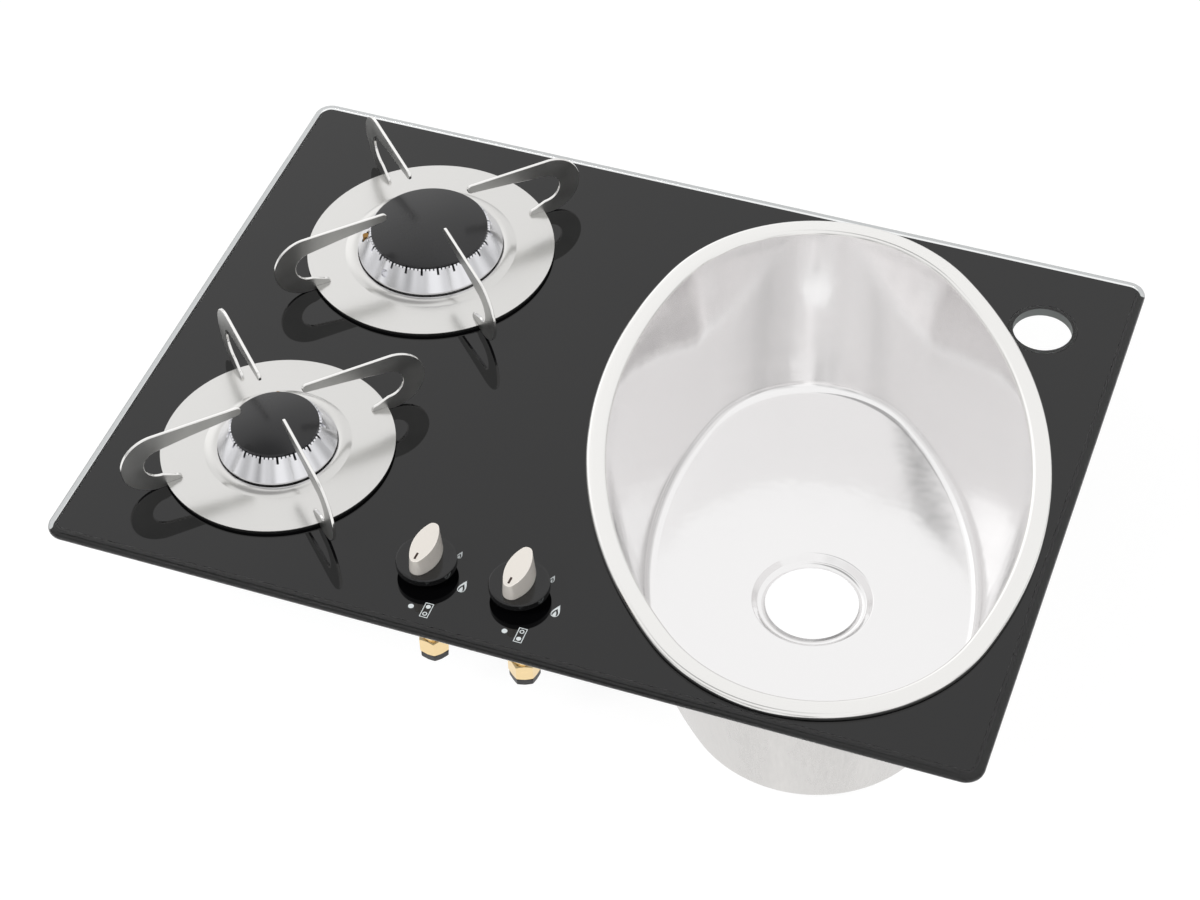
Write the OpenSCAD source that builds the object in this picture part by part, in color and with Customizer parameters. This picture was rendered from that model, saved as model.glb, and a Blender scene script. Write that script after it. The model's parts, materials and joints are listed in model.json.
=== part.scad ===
// Two-burner gas hob and oval sink in one black glass worktop panel, in millimetres.
// Origin: centre of the panel in plan, on the glass's underside, which rests on the worktop.
// +X runs to the right, +Y to the rear and +Z up.

/* [Glass panel] */
// Width of the glass, left to right
panel_w = 600; // [592:1:640]
// Depth of the glass, front to rear
panel_d = 435; // [431:1:470]
// Thickness of the glass
glass_t = 6; // [5:0.5:8]
// Radius of the panel's corners in plan
corner_r = 12; // [8:1:20]
// Diameter of the tap hole
tap_hole_d = 39; // [32:0.5:42]
// Tap hole's centre from the right edge
tap_from_right = 56.3; // [50:0.1:60]
// Tap hole's centre from the rear edge
tap_from_rear = 64; // [55:0.5:70]

/* [Sink] */
// Sink's centre from the panel's right edge
sink_from_right = 163.2; // [161:0.1:170]
// Sink's centre from the panel's front edge
sink_from_front = 217.6; // [214:0.1:219]
// Turn of the sink's long axis from front-to-rear, to the left at the rear
sink_turn = 17.2; // [14:0.1:20]
// Length of the sink over its flange
sink_len = 428; // [418:1:430]
// Width of the sink over its flange
sink_wid = 292.8; // [288:0.2:297]
// Height of the flange above the glass
flange_h = 4.5; // [4:0.1:6]
// Width of the flange, from its outer edge to the bowl's mouth
flange_w = 13; // [12:0.5:15]
// How far the flange bears on the glass
flange_bearing = 8.5; // [7:0.5:9]
// Outer radius of the flange's turned-down lip
lip_r = 2.5; // [2:0.1:3]
// Radius of the edge between flange and wall
mouth_r = 3; // [2:0.1:4]
// Depth from the top of the flange to the floor
bowl_depth = 127; // [110:1:150]
// Lean of the wall from upright
bowl_draft = 10.7; // [8:0.1:12]
// Radius between wall and floor
floor_fillet_r = 12; // [8:0.5:16]
// Thickness of the sink's sheet
sheet_t = 1; // [0.8:0.1:1.2]
// Drain hole's diameter
drain_d = 62; // [50:1:66]
// Diameter of the pressed recess around the drain hole
recess_d = 80; // [76:1:86]
// Depth of that recess
recess_h = 4; // [2:0.5:6]
// Drain's distance from the sink's centre, towards the front end
drain_shift = 16.5; // [0:0.5:30]

/* [Burners] */
// Rear burner's axis from the left edge
rear_from_left = 133.9; // [130:0.1:140]
// Rear burner's axis from the rear edge
rear_from_rear = 120.9; // [115:0.1:124]
// Front burner's axis from the left edge
front_from_left = 110.8; // [108:0.1:116]
// Front burner's axis from the front edge
front_from_front = 113.3; // [110:0.1:117]
// Diameter of the rear burner's plate
rear_plate_d = 167.4; // [162:0.2:172]
// Diameter of the front burner's plate
front_plate_d = 149.8; // [146:0.2:154]
// Diameter of the rear crown's foot
rear_crown_d = 98; // [95:0.5:101]
// Diameter of the front crown's foot
front_crown_d = 76.2; // [74:0.2:79]
// Diameter of the rear cap
rear_cap_d = 78.6; // [77:0.2:80]
// Diameter of the front cap
front_cap_d = 56; // [54.6:0.2:57]
// Height of the plates' upper face above the glass
plate_h = 3; // [2.4:0.1:3.6]
// Flame slots round the rear crown
rear_slots = 24; // [18:1:28]
// Flame slots round the front crown
front_slots = 17; // [12:1:20]
// Height of a crown from its foot to its rim
crown_h = 14.7; // [13:0.1:17]

/* [Pan supports] */
// Height of the pan supports above the glass
support_h = 46; // [44:0.5:50]
// Thickness of a support's blade
blade_t = 2; // [1.5:0.1:3]
// Length of a blade's upper arm, from its foot's end to its inner tip
arm_in = 44; // [40:0.5:46]
// Depth of the slots in the plates' rims
slot_depth = 10.6; // [8:0.1:12]

/* [Controls] */
// Left knob's axis from the left edge
knob_from_left = 240; // [236:0.5:246]
// Distance between the two knobs
knob_pitch = 60.6; // [58:0.1:64]
// Knobs' axes from the front edge
knob_from_front = 47.5; // [44:0.5:52]
// Diameter of a knob's dial
dial_d = 37.8; // [34:0.2:42]
// Gap between the glass and a dial
dial_gap = 6.6; // [6.2:0.1:8]
// Thickness of a dial
dial_t = 4.8; // [4:0.1:6]
// Length of a knob's grip
grip_len = 30.8; // [28:0.2:33]
// Width of a knob's grip at its foot
grip_wid = 17.4; // [15:0.2:18]
// Height of the grip's front end above the dial
grip_front_h = 12.6; // [11:0.2:16]
// Height of the grip's rear end above the dial
grip_rear_h = 17; // [15:0.2:22]
// Travel when a knob is pressed
press_travel = 3; // [2:0.5:3.5]
// Direction of the pointer at off, left of straight ahead
off_turn = 6; // [0:1:10]

/* [Underside] */
// Depth of the tray under the hob
tray_h = 30; // [29:0.5:34]
// Sheet thickness of the tray
tray_t = 1.2; // [1:0.1:1.5]
// Diameter of the gas pipes
pipe_d = 6; // [5:0.5:6.5]
// Hexagon of the union nuts, across flats
nut_af = 18; // [17:0.5:20]
// Height of the union nuts
nut_h = 12.5; // [11:0.5:14]

/* [Hidden] */
$fn = 96;
// Sides of the wide circle that domes a cap
dome_fn = 1440;
// Names of the two burners and of the two knobs, as places in the lists below
rear = 0;
front = 1;
left = 0;
right = 1;
// Overrun of every cut past the face that it opens
cut = 1;
// Gap of a loose fit, and of a lift-off fit
loose = 0.25;
// Radial clearance of a shaft that turns or slides
running = 0.05;

// Shares of one triangle: the centres of the sink's arcs stand the first two from its centre, and so the third apart
arc_shares = [336, 527, 625];
sink_a = sink_len / 2;
arc_part = round(1000 * (sink_len - sink_wid) / 2 / (arc_shares[0] + arc_shares[1] - arc_shares[2])) / 1000;
end_c = [arc_shares[0] * arc_part, 0];
side_c = [0, -arc_shares[1] * arc_part];
sink_end_r = sink_a - end_c[0];
sink_side_r = sink_end_r + arc_shares[2] * arc_part;
// How many times that distance a wedge round an arc reaches out
arc_reach = ceil(2 * sink_end_r / (arc_shares[2] * arc_part));
sink_b = sink_side_r + side_c[1];
sink_pos = [panel_w / 2 - sink_from_right, sink_from_front - panel_d / 2];
flange_z = glass_t + flange_h;
floor_z = flange_z - bowl_depth;
// How far the walls' sheet runs in over the floor
floor_lap = 6;
// Clearance of the lip over the glass
lip_gap = 0.4;
// The seal's gap to the lip's bend, and its inset from the flange's outline
seal_gap = 0.1;
seal_inset = lip_r + seal_gap;

// Centres of the wall's two bends, as [place from the outline, height]
mouth_c = [mouth_r - flange_w, flange_z - mouth_r];
wall_n = [-cos(bowl_draft), sin(bowl_draft)];
fillet_z = floor_z + floor_fillet_r;
fillet_c = [(wall_n[1] * fillet_z - mouth_c * wall_n - mouth_r - floor_fillet_r) / -wall_n[0], fillet_z];
tap_pos = [panel_w / 2 - tap_from_right, panel_d / 2 - tap_from_rear];

// Clips that hold the sink to the glass
clip_t = 1.5;
clip_wid = 16;
clip_drop = 10;
clip_leg = 16;
clip_out = 1;
clip_screw_d = 4;
clip_screw_inset = 3.5;
clip_foot_d = 8;
clip_foot_t = 2;
clip_head_h = 3;

// Plates, seals and supports
plate_t = 0.8;
plate_z = glass_t + plate_h;
plate_r = [rear_plate_d / 2, front_plate_d / 2];
// Wide bead pressed up round the crown: its width and height, and its middle, out from the crown's foot
bead_w = 12;
bead_h = 1.5;
bead_out = 3;
bead_r = (bead_w * bead_w / 4 + bead_h * bead_h) / (2 * bead_h);
seal_rim = 0.6;
seal_w = 14;
slot_clear = 0.1;
burner_pos = [
    [rear_from_left - panel_w / 2, panel_d / 2 - rear_from_rear],
    [front_from_left - panel_w / 2, front_from_front - panel_d / 2]
];
first_support = 45;
// A support's profile, from its foot's inner end and the glass's top
bow_r = support_h / 2;
bow_x = 15;
hollow_r = 11;
hollow_x = 12;
hollow_z = 22;
arm_tip_h = 6.5;
arm_mid_h = 10;
arm_mid_share = 0.2;
foot_h = 7;

// Crowns, caps and cups
crown_r = [rear_crown_d / 2, front_crown_d / 2];
cap_r = [rear_cap_d / 2, front_cap_d / 2];
// Gap between the plate and the crown's skirt
skirt_gap = 2.3;
skirt_t = 2;
skirt_edge = 1.2;
rim_over = 0.7;
rim_w = 4;
rim_r = [cap_r[rear] + rim_over, cap_r[front] + rim_over];
rim_edge = 0.8;
deck_drop = 7;
deck_t = 3;
slot_w = 1.5;
slot_h = 3.5;
// Smaller ports between the flame slots
port_w = 0.9;
port_h = 0.9;
ports_between = 3;
slots = [rear_slots, front_slots];
throat_in = 14;
throat_r = [rim_r[rear] - throat_in, rim_r[front] - rim_w - deck_drop];
throat_t = 3.5;
spigot_h = 5;
foot_w = 4;
skirt_z = plate_z + skirt_gap;
rim_z = skirt_z + crown_h;
seat_z = plate_z - plate_t;
cap_edge_h = 1.5;
cap_rise = 3;
cap_t = 1.5;
cap_ring_h = 2.5;
cap_ring_t = 1.5;
// Lighting port in the rear crown's face
light_d = 5.5;
light_turn = 250;
light_share = 0.45;
cup_in = 7;
cup_t = 3;
cup_r = [rim_r[rear] - cup_in, rim_r[front] - cup_in];
cup_floor_t = 4;
shoulder_t = 3;
shoulder_in = 3;
shoulder_r = [crown_r[rear] - shoulder_in, crown_r[front] - shoulder_in];
hole_gap = 2;
tray_floor_z = tray_t - tray_h;
boss_r = 8;
boss_over = 5;
jet_d = 6;
jet_head_h = 3.5;
jet_af = 9;
jet_bore = 1;
burner_screw_d = 3;
burner_screw_len = 8;
burner_screw_turn = 10;
screw_head_h = 1.4;
screw_head_over = 1.4;
burner_screws_n = 3;
screw_ring_in = 4;

// Thermocouples: distance from the burner's axis, direction and size
couple_r = [43, 31];
couple_turn = [202, 112];
couple_d = 4.4;
couple_top_drop = 3.5;
couple_low = 16;
couple_hole_over = 1.6;
collar_over = 1;
collar_h = 2;
lead_d = 2;
lead_bend = 4;

// Pipes and their heights, and the heights of the thermocouples' leads
pipe_z = [-12, -20.5];
pipe_bend = 18;
pipe_seat = 5;
lead_z = [-14, -5];
// How far each lead's cross run lies behind the taps or behind its burner, and the rear one's long run from its burner
rear_lead_behind_tap = 125;
rear_lead_beside_burner = 38.1;
front_lead_behind_burner = 84.2;

// Taps, from the tray's floor up
knob_pos = [
    [knob_from_left - panel_w / 2, knob_from_front - panel_d / 2],
    [knob_from_left + knob_pitch - panel_w / 2, knob_from_front - panel_d / 2]
];
tap_r = 10.5;
tap_top = 2.6;
bonnet_t = 1.6;
bonnet_screw_gap = 0.2;
chamber_r = 5.2;
chamber_floor = 3;
plug_h = 10;
plug_float = 0.4;
outlet_r = 5;
outlet_len = 6;
base_w = 36;
base_d = 16;
base_t = 3;
tap_screw_d = 3;
tap_screw_x = 13.8;
valve_r = 6;
valve_len = 13;
valve_z = -14;
valve_collar_r = 4;
valve_collar_len = 4;
inlet_r = 6.5;
inlet_bore_r = 3.5;
collar_r = 8;
nut_drop = 53;
collar_len = 6;
neck_hole_over = 0.5;
cap_af = 17;
// Lean of a nut's chamfers, and the share of its width across flats that its round end faces take
nut_chamfer = 30;
nut_face_share = 0.94;
// Turn of each nut about its axis
nut_turn = [21, -9];
end_cap_h = 5.5;
end_cap_in = 5;
spring_r = 4.2;
spring_wire = 0.8;
spring_turns = 4.5;
spring_gap = 0.1;
spring_steps = 14;
spring_sides = 6;

// Knobs and what turns with them
spindle_r = 3;
spindle_flat = 0.7;
spindle_in_plug = 6.5;
stop_collar_r = 4.8;
stop_collar_h = 1.2;
stop_collar_gap = 1.4;
grommet_hole_r = 6;
grommet_lip_r = 9;
grommet_lip_t = 1.4;
grommet_under_t = 1.2;
grommet_bore_over = 0.3;
dial_r = dial_d / 2;
dial_z = glass_t + dial_gap;
dial_top = dial_z + dial_t;
dial_face_t = 2;
dial_wall = 2;
dial_edge_r = 1;
hub_r = 5.5;
hub_drop = 1;
// How far the grip's sides and its rear end lean in up to its face
grip_taper = 1.6;
grip_rear_in = 1;
grip_socket = 8;
grip_end_r = 5.6;
// Upright land at the grip's foot and rim, and the sides of its arcs
grip_land_t = 0.5;
grip_fn = 64;
pointer_w = 1.2;
pointer_len = 4.6;
pointer_depth = 0.8;
// The pointer's middle, from the middle of the grip's face
pointer_r = 10.6;

// Tray under the hob
tray_left = 24;
tray_front = 28;
tray_rear = 26;
tray_right = 44;
tray_sink_gap = 7;
tray_corner_r = 14;
tray_flange = 9;
tray_screw_d = 3.5;
tray_screw_len = 5;
tray_screws_n = 3;
tray_screw_in = 8;

// Flat shapes

function side_r(a, b, r1) = (a * a - 2 * a * r1 + b * b) / (2 * (b - r1));
function oval_turn(a, b, r1) = atan2(side_r(a, b, r1) - b, a - r1);

// Oval of four arcs, drawn in by an inset: the sides' circles cross, and the end circles round their tips off
module oval_2d(a, b, r1, inset = 0) {
    r2 = side_r(a, b, r1);
    end_x = a - r1 + (r1 - inset) * cos(oval_turn(a, b, r1));
    reach = 2 * (a + abs(inset));
    difference() {
        intersection() {
            translate([0, b - r2]) circle(r2 - inset);
            translate([0, r2 - b]) circle(r2 - inset);
        }
        for (k = [0, 180])
            rotate(k) difference() {
                translate([end_x, -reach / 2]) square([reach, reach]);
                translate([a - r1, 0]) circle(r1 - inset);
            }
    }
}

// Carries a profile round the sink: x is its place from the outline, outwards, and y its height
module sink_sweep() {
    for (k = [0, 180])
        rotate([0, 0, k]) {
            sink_arc(end_c, sink_end_r, [
                end_c, end_c + arc_reach * (end_c + side_c), (1 + 2 * arc_reach) * end_c, end_c + arc_reach * (end_c - side_c)
            ]) children();
            sink_arc(side_c, sink_side_r, [
                side_c, end_c + arc_reach * (end_c - side_c), -2 * arc_reach * side_c, -end_c - arc_reach * (end_c + side_c)
            ]) children();
        }
}

module sink_arc(c, r, region) {
    intersection() {
        at(c) rotate_extrude() translate([r, 0]) children();
        translate([0, 0, floor_z - floor_fillet_r]) linear_extrude(2 * bowl_depth) polygon(region);
    }
}

// What a round end of radius r takes off a bar's square end, which points along the turn
module round_off_2d(c, r, turn) {
    translate(c) rotate(turn) difference() {
        translate([0, -r - cut]) square([r + cut, 2 * (r + cut)]);
        circle(r);
    }
}

module rounded_rect_2d(w, d, r) {
    square([w - 2 * r, d], center = true);
    square([w, d - 2 * r], center = true);
    for (sx = [-1, 1], sy = [-1, 1])
        translate([sx * (w / 2 - r), sy * (d / 2 - r)]) circle(r);
}

module hexagon_2d(af) {
    circle(d = af / cos(30), $fn = 6);
}

// Hexagon bar whose corners are turned off at both ends, as on a nut
module nut_bar(af, h) {
    face_r = nut_face_share * af / 2;
    reach = af / sqrt(3) + cut;
    drop = (reach - face_r) * tan(nut_chamfer);
    intersection() {
        linear_extrude(h) hexagon_2d(af);
        rotate_extrude() polygon([[0, 0], [face_r, 0], [reach, drop], [reach, h - drop], [face_r, h], [0, h]]);
    }
}

module at(p) {
    translate([p[0], p[1], 0]) children();
}

module in_sink() {
    at(sink_pos) rotate([0, 0, 90 + sink_turn]) children();
}

module sink_oval_2d(inset = 0) {
    oval_2d(sink_a, sink_b, sink_end_r, inset);
}

// Glass panel

module edge_2d() {
    intersection() {
        circle(glass_t / 2);
        translate([0, -glass_t / 2]) square([glass_t / 2, glass_t]);
    }
}

module pencil_edge_slab() {
    half = glass_t / 2;
    linear_extrude(glass_t) rounded_rect_2d(panel_w - glass_t, panel_d - glass_t, corner_r - half);
    for (k = [0 : 3]) {
        across = k % 2 == 0 ? [panel_w, panel_d] : [panel_d, panel_w];
        rotate([0, 0, 90 * k]) {
            translate([across[0] / 2 - half, 0, half]) rotate([90, 0, 0])
                linear_extrude(across[1] - 2 * corner_r, center = true) edge_2d();
            translate([across[0] / 2 - corner_r, across[1] / 2 - corner_r, half])
                rotate_extrude(angle = 90) translate([corner_r - half, 0]) edge_2d();
        }
    }
}

module glass_panel() {
    color("#2f3032") difference() {
        pencil_edge_slab();
        translate([0, 0, -cut]) linear_extrude(glass_t + 2 * cut) in_sink() sink_oval_2d(flange_bearing);
        at(tap_pos) translate([0, 0, -cut]) cylinder(d = tap_hole_d, h = glass_t + 2 * cut);
        for (i = [rear, front])
            at(burner_pos[i]) translate([0, 0, -cut]) cylinder(r = shoulder_r[i] + hole_gap, h = glass_t + 2 * cut);
        for (k = [left, right])
            at(knob_pos[k]) translate([0, 0, -cut]) cylinder(r = grommet_hole_r, h = glass_t + 2 * cut);
    }
}

// Sink

// What lies under the sheet's upper face, or under its lower face when drawn in by its thickness
module under_sheet_2d(inset, base) {
    top = flange_z - inset;
    lip_c = [-lip_r, flange_z - lip_r];
    fillet = floor_fillet_r + inset;
    edge_x = (mouth_c * wall_n + mouth_r - inset - top * wall_n[1]) / wall_n[0];
    difference() {
        polygon([
            [-inset, base], [-inset, top], [edge_x, top], fillet_c - fillet * wall_n, fillet_c,
            [fillet_c[0], floor_z - inset], [fillet_c[0] - floor_lap, floor_z - inset], [fillet_c[0] - floor_lap, base]
        ]);
        translate(fillet_c) circle(fillet);
        // Rounding at the lip and at the mouth
        difference() {
            polygon([lip_c, [lip_c[0], flange_z + cut], [cut, flange_z + cut], [cut, lip_c[1]]]);
            translate(lip_c) circle(lip_r - inset);
        }
        difference() {
            polygon([
                mouth_c, mouth_c + 2 * mouth_r * wall_n, [mouth_c[0] - 2 * mouth_r, flange_z + mouth_r],
                [mouth_c[0], flange_z + mouth_r]
            ]);
            translate(mouth_c) circle(mouth_r - inset);
        }
    }
}

// The sheet from its lip over the flange and down the wall to the floor
module bowl_profile_2d() {
    low = floor_z - sheet_t;
    difference() {
        under_sheet_2d(0, low);
        under_sheet_2d(sheet_t, low - cut);
        translate([-sheet_t - cut, low - cut]) square([sheet_t + 2 * cut, glass_t + lip_gap - low + cut]);
    }
}

module recess_profile_2d() {
    top_r = recess_d / 2;
    low_r = drain_d / 2;
    slope = recess_h;
    polygon([
        [top_r, 0], [top_r - slope, -recess_h], [low_r, -recess_h], [low_r, -recess_h - sheet_t],
        [top_r - slope + sheet_t, -recess_h - sheet_t], [top_r + sheet_t, -sheet_t], [top_r + sheet_t, 0]
    ]);
}

module sink_bowl() {
    color("#dcdcda") in_sink() {
        sink_sweep() bowl_profile_2d();
        difference() {
            translate([0, 0, floor_z - sheet_t]) linear_extrude(sheet_t) sink_oval_2d(floor_lap / 2 - fillet_c[0]);
            translate([-drain_shift, 0, floor_z - sheet_t - cut]) cylinder(d = recess_d, h = sheet_t + 2 * cut);
        }
        translate([-drain_shift, 0, floor_z]) rotate_extrude() recess_profile_2d();
    }
}

module sink_seal() {
    color("#4a4a4a") in_sink() sink_sweep()
        translate([-flange_bearing, glass_t]) square([flange_bearing - seal_inset, flange_h - sheet_t]);
}

// One clip's section: a leg welded down the wall and a tongue under the glass
module clip_profile_2d() {
    back = mouth_c + (mouth_r - sheet_t) * wall_n;
    along = [wall_n[1], -wall_n[0]];
    top = back + ((clip_drop + back[1]) / -along[1]) * along;
    low = top - clip_leg * along;
    corner = top - clip_t * wall_n;
    polygon([
        top + (clip_t / along[1]) * along, [clip_out, clip_t - clip_drop], [clip_out, -clip_drop],
        corner + ((-clip_drop - corner[1]) / along[1]) * along, low - clip_t * wall_n, low
    ]);
}

// Puts a shape at each of the four arcs' middles, with its reach from the arc's own centre
module on_sink_arcs() {
    for (k = [0, 180])
        rotate([0, 0, k]) {
            translate([sink_a - sink_end_r, 0, 0]) {
                $arc_r = sink_end_r;
                children();
            }
            translate([0, sink_b - sink_side_r, 0]) rotate([0, 0, 90]) {
                $arc_r = sink_side_r;
                children();
            }
        }
}

module clip_body() {
    half_turn = asin(clip_wid / 2 / $arc_r);
    difference() {
        rotate([0, 0, -half_turn]) rotate_extrude(angle = 2 * half_turn) translate([$arc_r, 0]) clip_profile_2d();
        translate([$arc_r - clip_screw_inset, 0, -clip_drop - cut])
            cylinder(d = clip_screw_d + 2 * slot_clear, h = clip_t + 2 * cut);
    }
}

module sink_clips() {
    color("#b8babb") in_sink() on_sink_arcs() clip_body();
}

module clip_screw() {
    translate([$arc_r - clip_screw_inset, 0, 0]) {
        translate([0, 0, -clip_foot_t]) cylinder(d = clip_foot_d, h = clip_foot_t);
        translate([0, 0, -clip_drop]) cylinder(d = clip_screw_d, h = clip_drop - clip_foot_t);
        translate([0, 0, -clip_drop - clip_head_h]) linear_extrude(clip_head_h) hexagon_2d(clip_foot_d);
    }
}

module sink_clip_screws() {
    color("#c9cacc") in_sink() on_sink_arcs() clip_screw();
}

// Burner plates and their seals

module rim_slots(i, reach) {
    for (k = [0 : 3])
        rotate([0, 0, first_support + 90 * k])
            translate([plate_r[i] - slot_depth, -blade_t / 2 - slot_clear, -reach / 2])
                cube([slot_depth + cut, blade_t + 2 * slot_clear, reach]);
}

module plate_screw_places(i) {
    for (k = [0 : burner_screws_n - 1])
        rotate([0, 0, burner_screw_turn + 360 / burner_screws_n * k])
            translate([shoulder_r[i] - screw_ring_in, 0, 0]) children();
}

module couple_place(i) {
    rotate([0, 0, couple_turn[i]]) translate([couple_r[i], 0, 0]) children();
}

module plate(i) {
    low = plate_z - plate_t;
    bead_c = crown_r[i] + bead_out;
    bead_z = plate_z + bead_h - bead_r;
    color("#dedbd8") at(burner_pos[i]) difference() {
        union() {
            rotate_extrude() translate([throat_r[i] + foot_w, low]) square([plate_r[i] - throat_r[i] - foot_w, plate_t]);
            rotate_extrude() intersection() {
                translate([bead_c, bead_z]) circle(bead_r);
                translate([bead_c - bead_w / 2, low]) square([bead_w, plate_t + bead_h]);
            }
        }
        rotate_extrude() intersection() {
            translate([bead_c, bead_z]) circle(bead_r - plate_t);
            translate([bead_c - bead_w / 2, low - cut]) square([bead_w, plate_t + bead_h + cut]);
        }
        translate([0, 0, glass_t]) rim_slots(i, 4 * plate_h);
        plate_screw_places(i) translate([0, 0, low - cut]) cylinder(d = burner_screw_d + 2 * slot_clear, h = plate_t + 2 * cut);
        couple_place(i) translate([0, 0, low - cut]) cylinder(d = couple_d + 2 * slot_clear, h = plate_t + 2 * cut);
    }
}

module plate_seal(i) {
    outer = plate_r[i] - seal_rim;
    color("#1e1e1e") at(burner_pos[i]) difference() {
        translate([0, 0, glass_t]) rotate_extrude() translate([outer - seal_w, 0]) square([seal_w, plate_h - plate_t]);
        translate([0, 0, glass_t]) rim_slots(i, 4 * plate_h);
    }
}

// Pan supports

module support_profile_2d() {
    tip = arm_tip_h / 2;
    foot = foot_h / 2;
    difference() {
        polygon([
            [-arm_in, support_h], [bow_x + bow_r, support_h], [bow_x + bow_r, 0], [0, 0], [0, foot_h], [foot, foot_h],
            [hollow_x, hollow_z - hollow_r], [hollow_x, hollow_z + hollow_r],
            [-arm_in * arm_mid_share, support_h - arm_mid_h], [tip - arm_in, support_h - arm_tip_h],
            [-arm_in, support_h - arm_tip_h]
        ]);
        translate([hollow_x, hollow_z]) circle(hollow_r);
        round_off_2d([bow_x, bow_r], bow_r, 0);
        round_off_2d([tip - arm_in, support_h - tip], tip, 180);
        round_off_2d([foot, foot], foot, 180);
    }
}

module support(i, k) {
    color("#cfcdca") at(burner_pos[i]) rotate([0, 0, first_support + 90 * k])
        translate([plate_r[i] - slot_depth, blade_t / 2, glass_t]) rotate([90, 0, 0])
            linear_extrude(blade_t) support_profile_2d();
}

// Burner cups, crowns and caps

module cup(i) {
    shoulder_low = seat_z - shoulder_t;
    boss_top = pipe_z[i] + boss_over;
    color("#b9bbbd") at(burner_pos[i]) difference() {
        union() {
            rotate_extrude() polygon([
                [0, tray_floor_z], [cup_r[i], tray_floor_z], [cup_r[i], shoulder_low], [shoulder_r[i], shoulder_low],
                [shoulder_r[i], seat_z], [throat_r[i] + loose, seat_z], [throat_r[i] + loose, shoulder_low],
                [cup_r[i] - cup_t, shoulder_low - cup_t], [cup_r[i] - cup_t, tray_floor_z + cup_floor_t],
                [0, tray_floor_z + cup_floor_t]
            ]);
            translate([0, 0, tray_floor_z]) cylinder(r = boss_r, h = boss_top - tray_floor_z);
        }
        // The jet's thread, and the way in for the gas pipe
        translate([0, 0, pipe_z[i]]) cylinder(d = jet_d, h = boss_over + cut);
        translate([0, 0, pipe_z[i]]) rotate([0, 90, 0])
            translate([0, 0, pipe_seat]) cylinder(d = pipe_d + 2 * slot_clear, h = cup_r[i]);
        plate_screw_places(i) translate([0, 0, seat_z - burner_screw_len]) cylinder(d = burner_screw_d, h = burner_screw_len + cut);
        couple_place(i) translate([0, 0, shoulder_low - cut]) cylinder(d = couple_d, h = shoulder_t + 2 * cut);
        tray_screw_places(i) translate([0, 0, tray_floor_z - cut]) cylinder(d = tray_screw_d, h = tray_screw_len + cut);
    }
}

module crown(i) {
    deck = rim_z - deck_drop;
    slope_r = crown_r[i] - rim_r[i];
    inner_r = throat_r[i] - throat_t;
    color("#d9dadc") at(burner_pos[i]) difference() {
        rotate_extrude() polygon([
            [crown_r[i], skirt_z], [crown_r[i], skirt_z + skirt_edge], [rim_r[i] + rim_edge, rim_z - rim_edge],
            [rim_r[i], rim_z], [rim_r[i] - rim_w, rim_z], [rim_r[i] - rim_w, deck], [inner_r, deck],
            [inner_r, seat_z - spigot_h], [throat_r[i], seat_z - spigot_h], [throat_r[i], seat_z],
            [throat_r[i] + foot_w - loose, seat_z], [throat_r[i] + foot_w - loose, deck - deck_t],
            [rim_r[i] - skirt_t, deck - deck_t], [crown_r[i] - skirt_t - skirt_edge, skirt_z]
        ]);
        for (k = [0 : slots[i] - 1])
            rotate([0, 0, 360 / slots[i] * k]) {
                translate([rim_r[i] - rim_w - cut, -slot_w / 2, rim_z - slot_h])
                    cube([rim_w + slope_r, slot_w, slot_h + cut]);
                for (j = [1 : ports_between])
                    rotate([0, 0, 360 / slots[i] * j / (ports_between + 1)])
                        translate([rim_r[i] - rim_w - cut, -port_w / 2, rim_z - port_h])
                            cube([rim_w + slope_r, port_w, port_h + cut]);
            }
        couple_place(i) translate([0, 0, skirt_z - cut])
            cylinder(d = couple_d + couple_hole_over, h = rim_z - skirt_z + 2 * cut);
        if (i == rear) lighting_port(i, deck);
    }
}

// Round port through the crown's slanted face
module lighting_port(i, deck) {
    face = [crown_r[i] - rim_r[i] - rim_edge, crown_h - skirt_edge - rim_edge];
    lean = atan2(face[0], face[1]);
    rotate([0, 0, light_turn])
        translate([crown_r[i] - face[0] * light_share, 0, skirt_z + skirt_edge + face[1] * light_share])
            rotate([0, 90 - lean, 0]) translate([0, 0, -2 * skirt_t]) cylinder(d = light_d, h = 4 * skirt_t);
}

module cap_section_2d(i) {
    dome_r = (cap_r[i] * cap_r[i] + cap_rise * cap_rise) / (2 * cap_rise);
    translate([0, rim_z]) square([cap_r[i], cap_edge_h]);
    translate([0, rim_z + cap_edge_h]) intersection() {
        translate([0, cap_rise - dome_r]) circle(dome_r, $fn = dome_fn);
        square([cap_r[i], cap_rise]);
    }
}

module cap(i) {
    ring_r = rim_r[i] - rim_w - loose;
    color("#2b2b2d") at(burner_pos[i]) difference() {
        union() {
            rotate_extrude() cap_section_2d(i);
            translate([0, 0, rim_z - cap_ring_h]) cylinder(r = ring_r, h = cap_ring_h);
        }
        translate([0, 0, rim_z - cap_ring_h - cut]) cylinder(r = ring_r - cap_ring_t, h = cap_ring_h + cap_t + cut);
    }
}

module jet(i) {
    color("#d8a850") at(burner_pos[i]) difference() {
        union() {
            translate([0, 0, pipe_z[i]]) cylinder(d = jet_d, h = boss_over + jet_head_h);
            translate([0, 0, pipe_z[i] + boss_over]) linear_extrude(jet_head_h) hexagon_2d(jet_af);
        }
        translate([0, 0, pipe_z[i] - cut]) cylinder(d = jet_bore, h = boss_over + jet_head_h + 2 * cut);
    }
}

module burner_screws() {
    color("#c9cacc") for (i = [rear, front])
        at(burner_pos[i]) plate_screw_places(i) {
            translate([0, 0, seat_z - burner_screw_len + slot_clear]) cylinder(d = burner_screw_d, h = burner_screw_len + plate_t);
            translate([0, 0, plate_z]) cylinder(d = burner_screw_d + 2 * screw_head_over, h = screw_head_h);
        }
}

// A round bar along a line of points, with a bend of radius r at each inner point
function unit(v) = v / norm(v);

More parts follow.
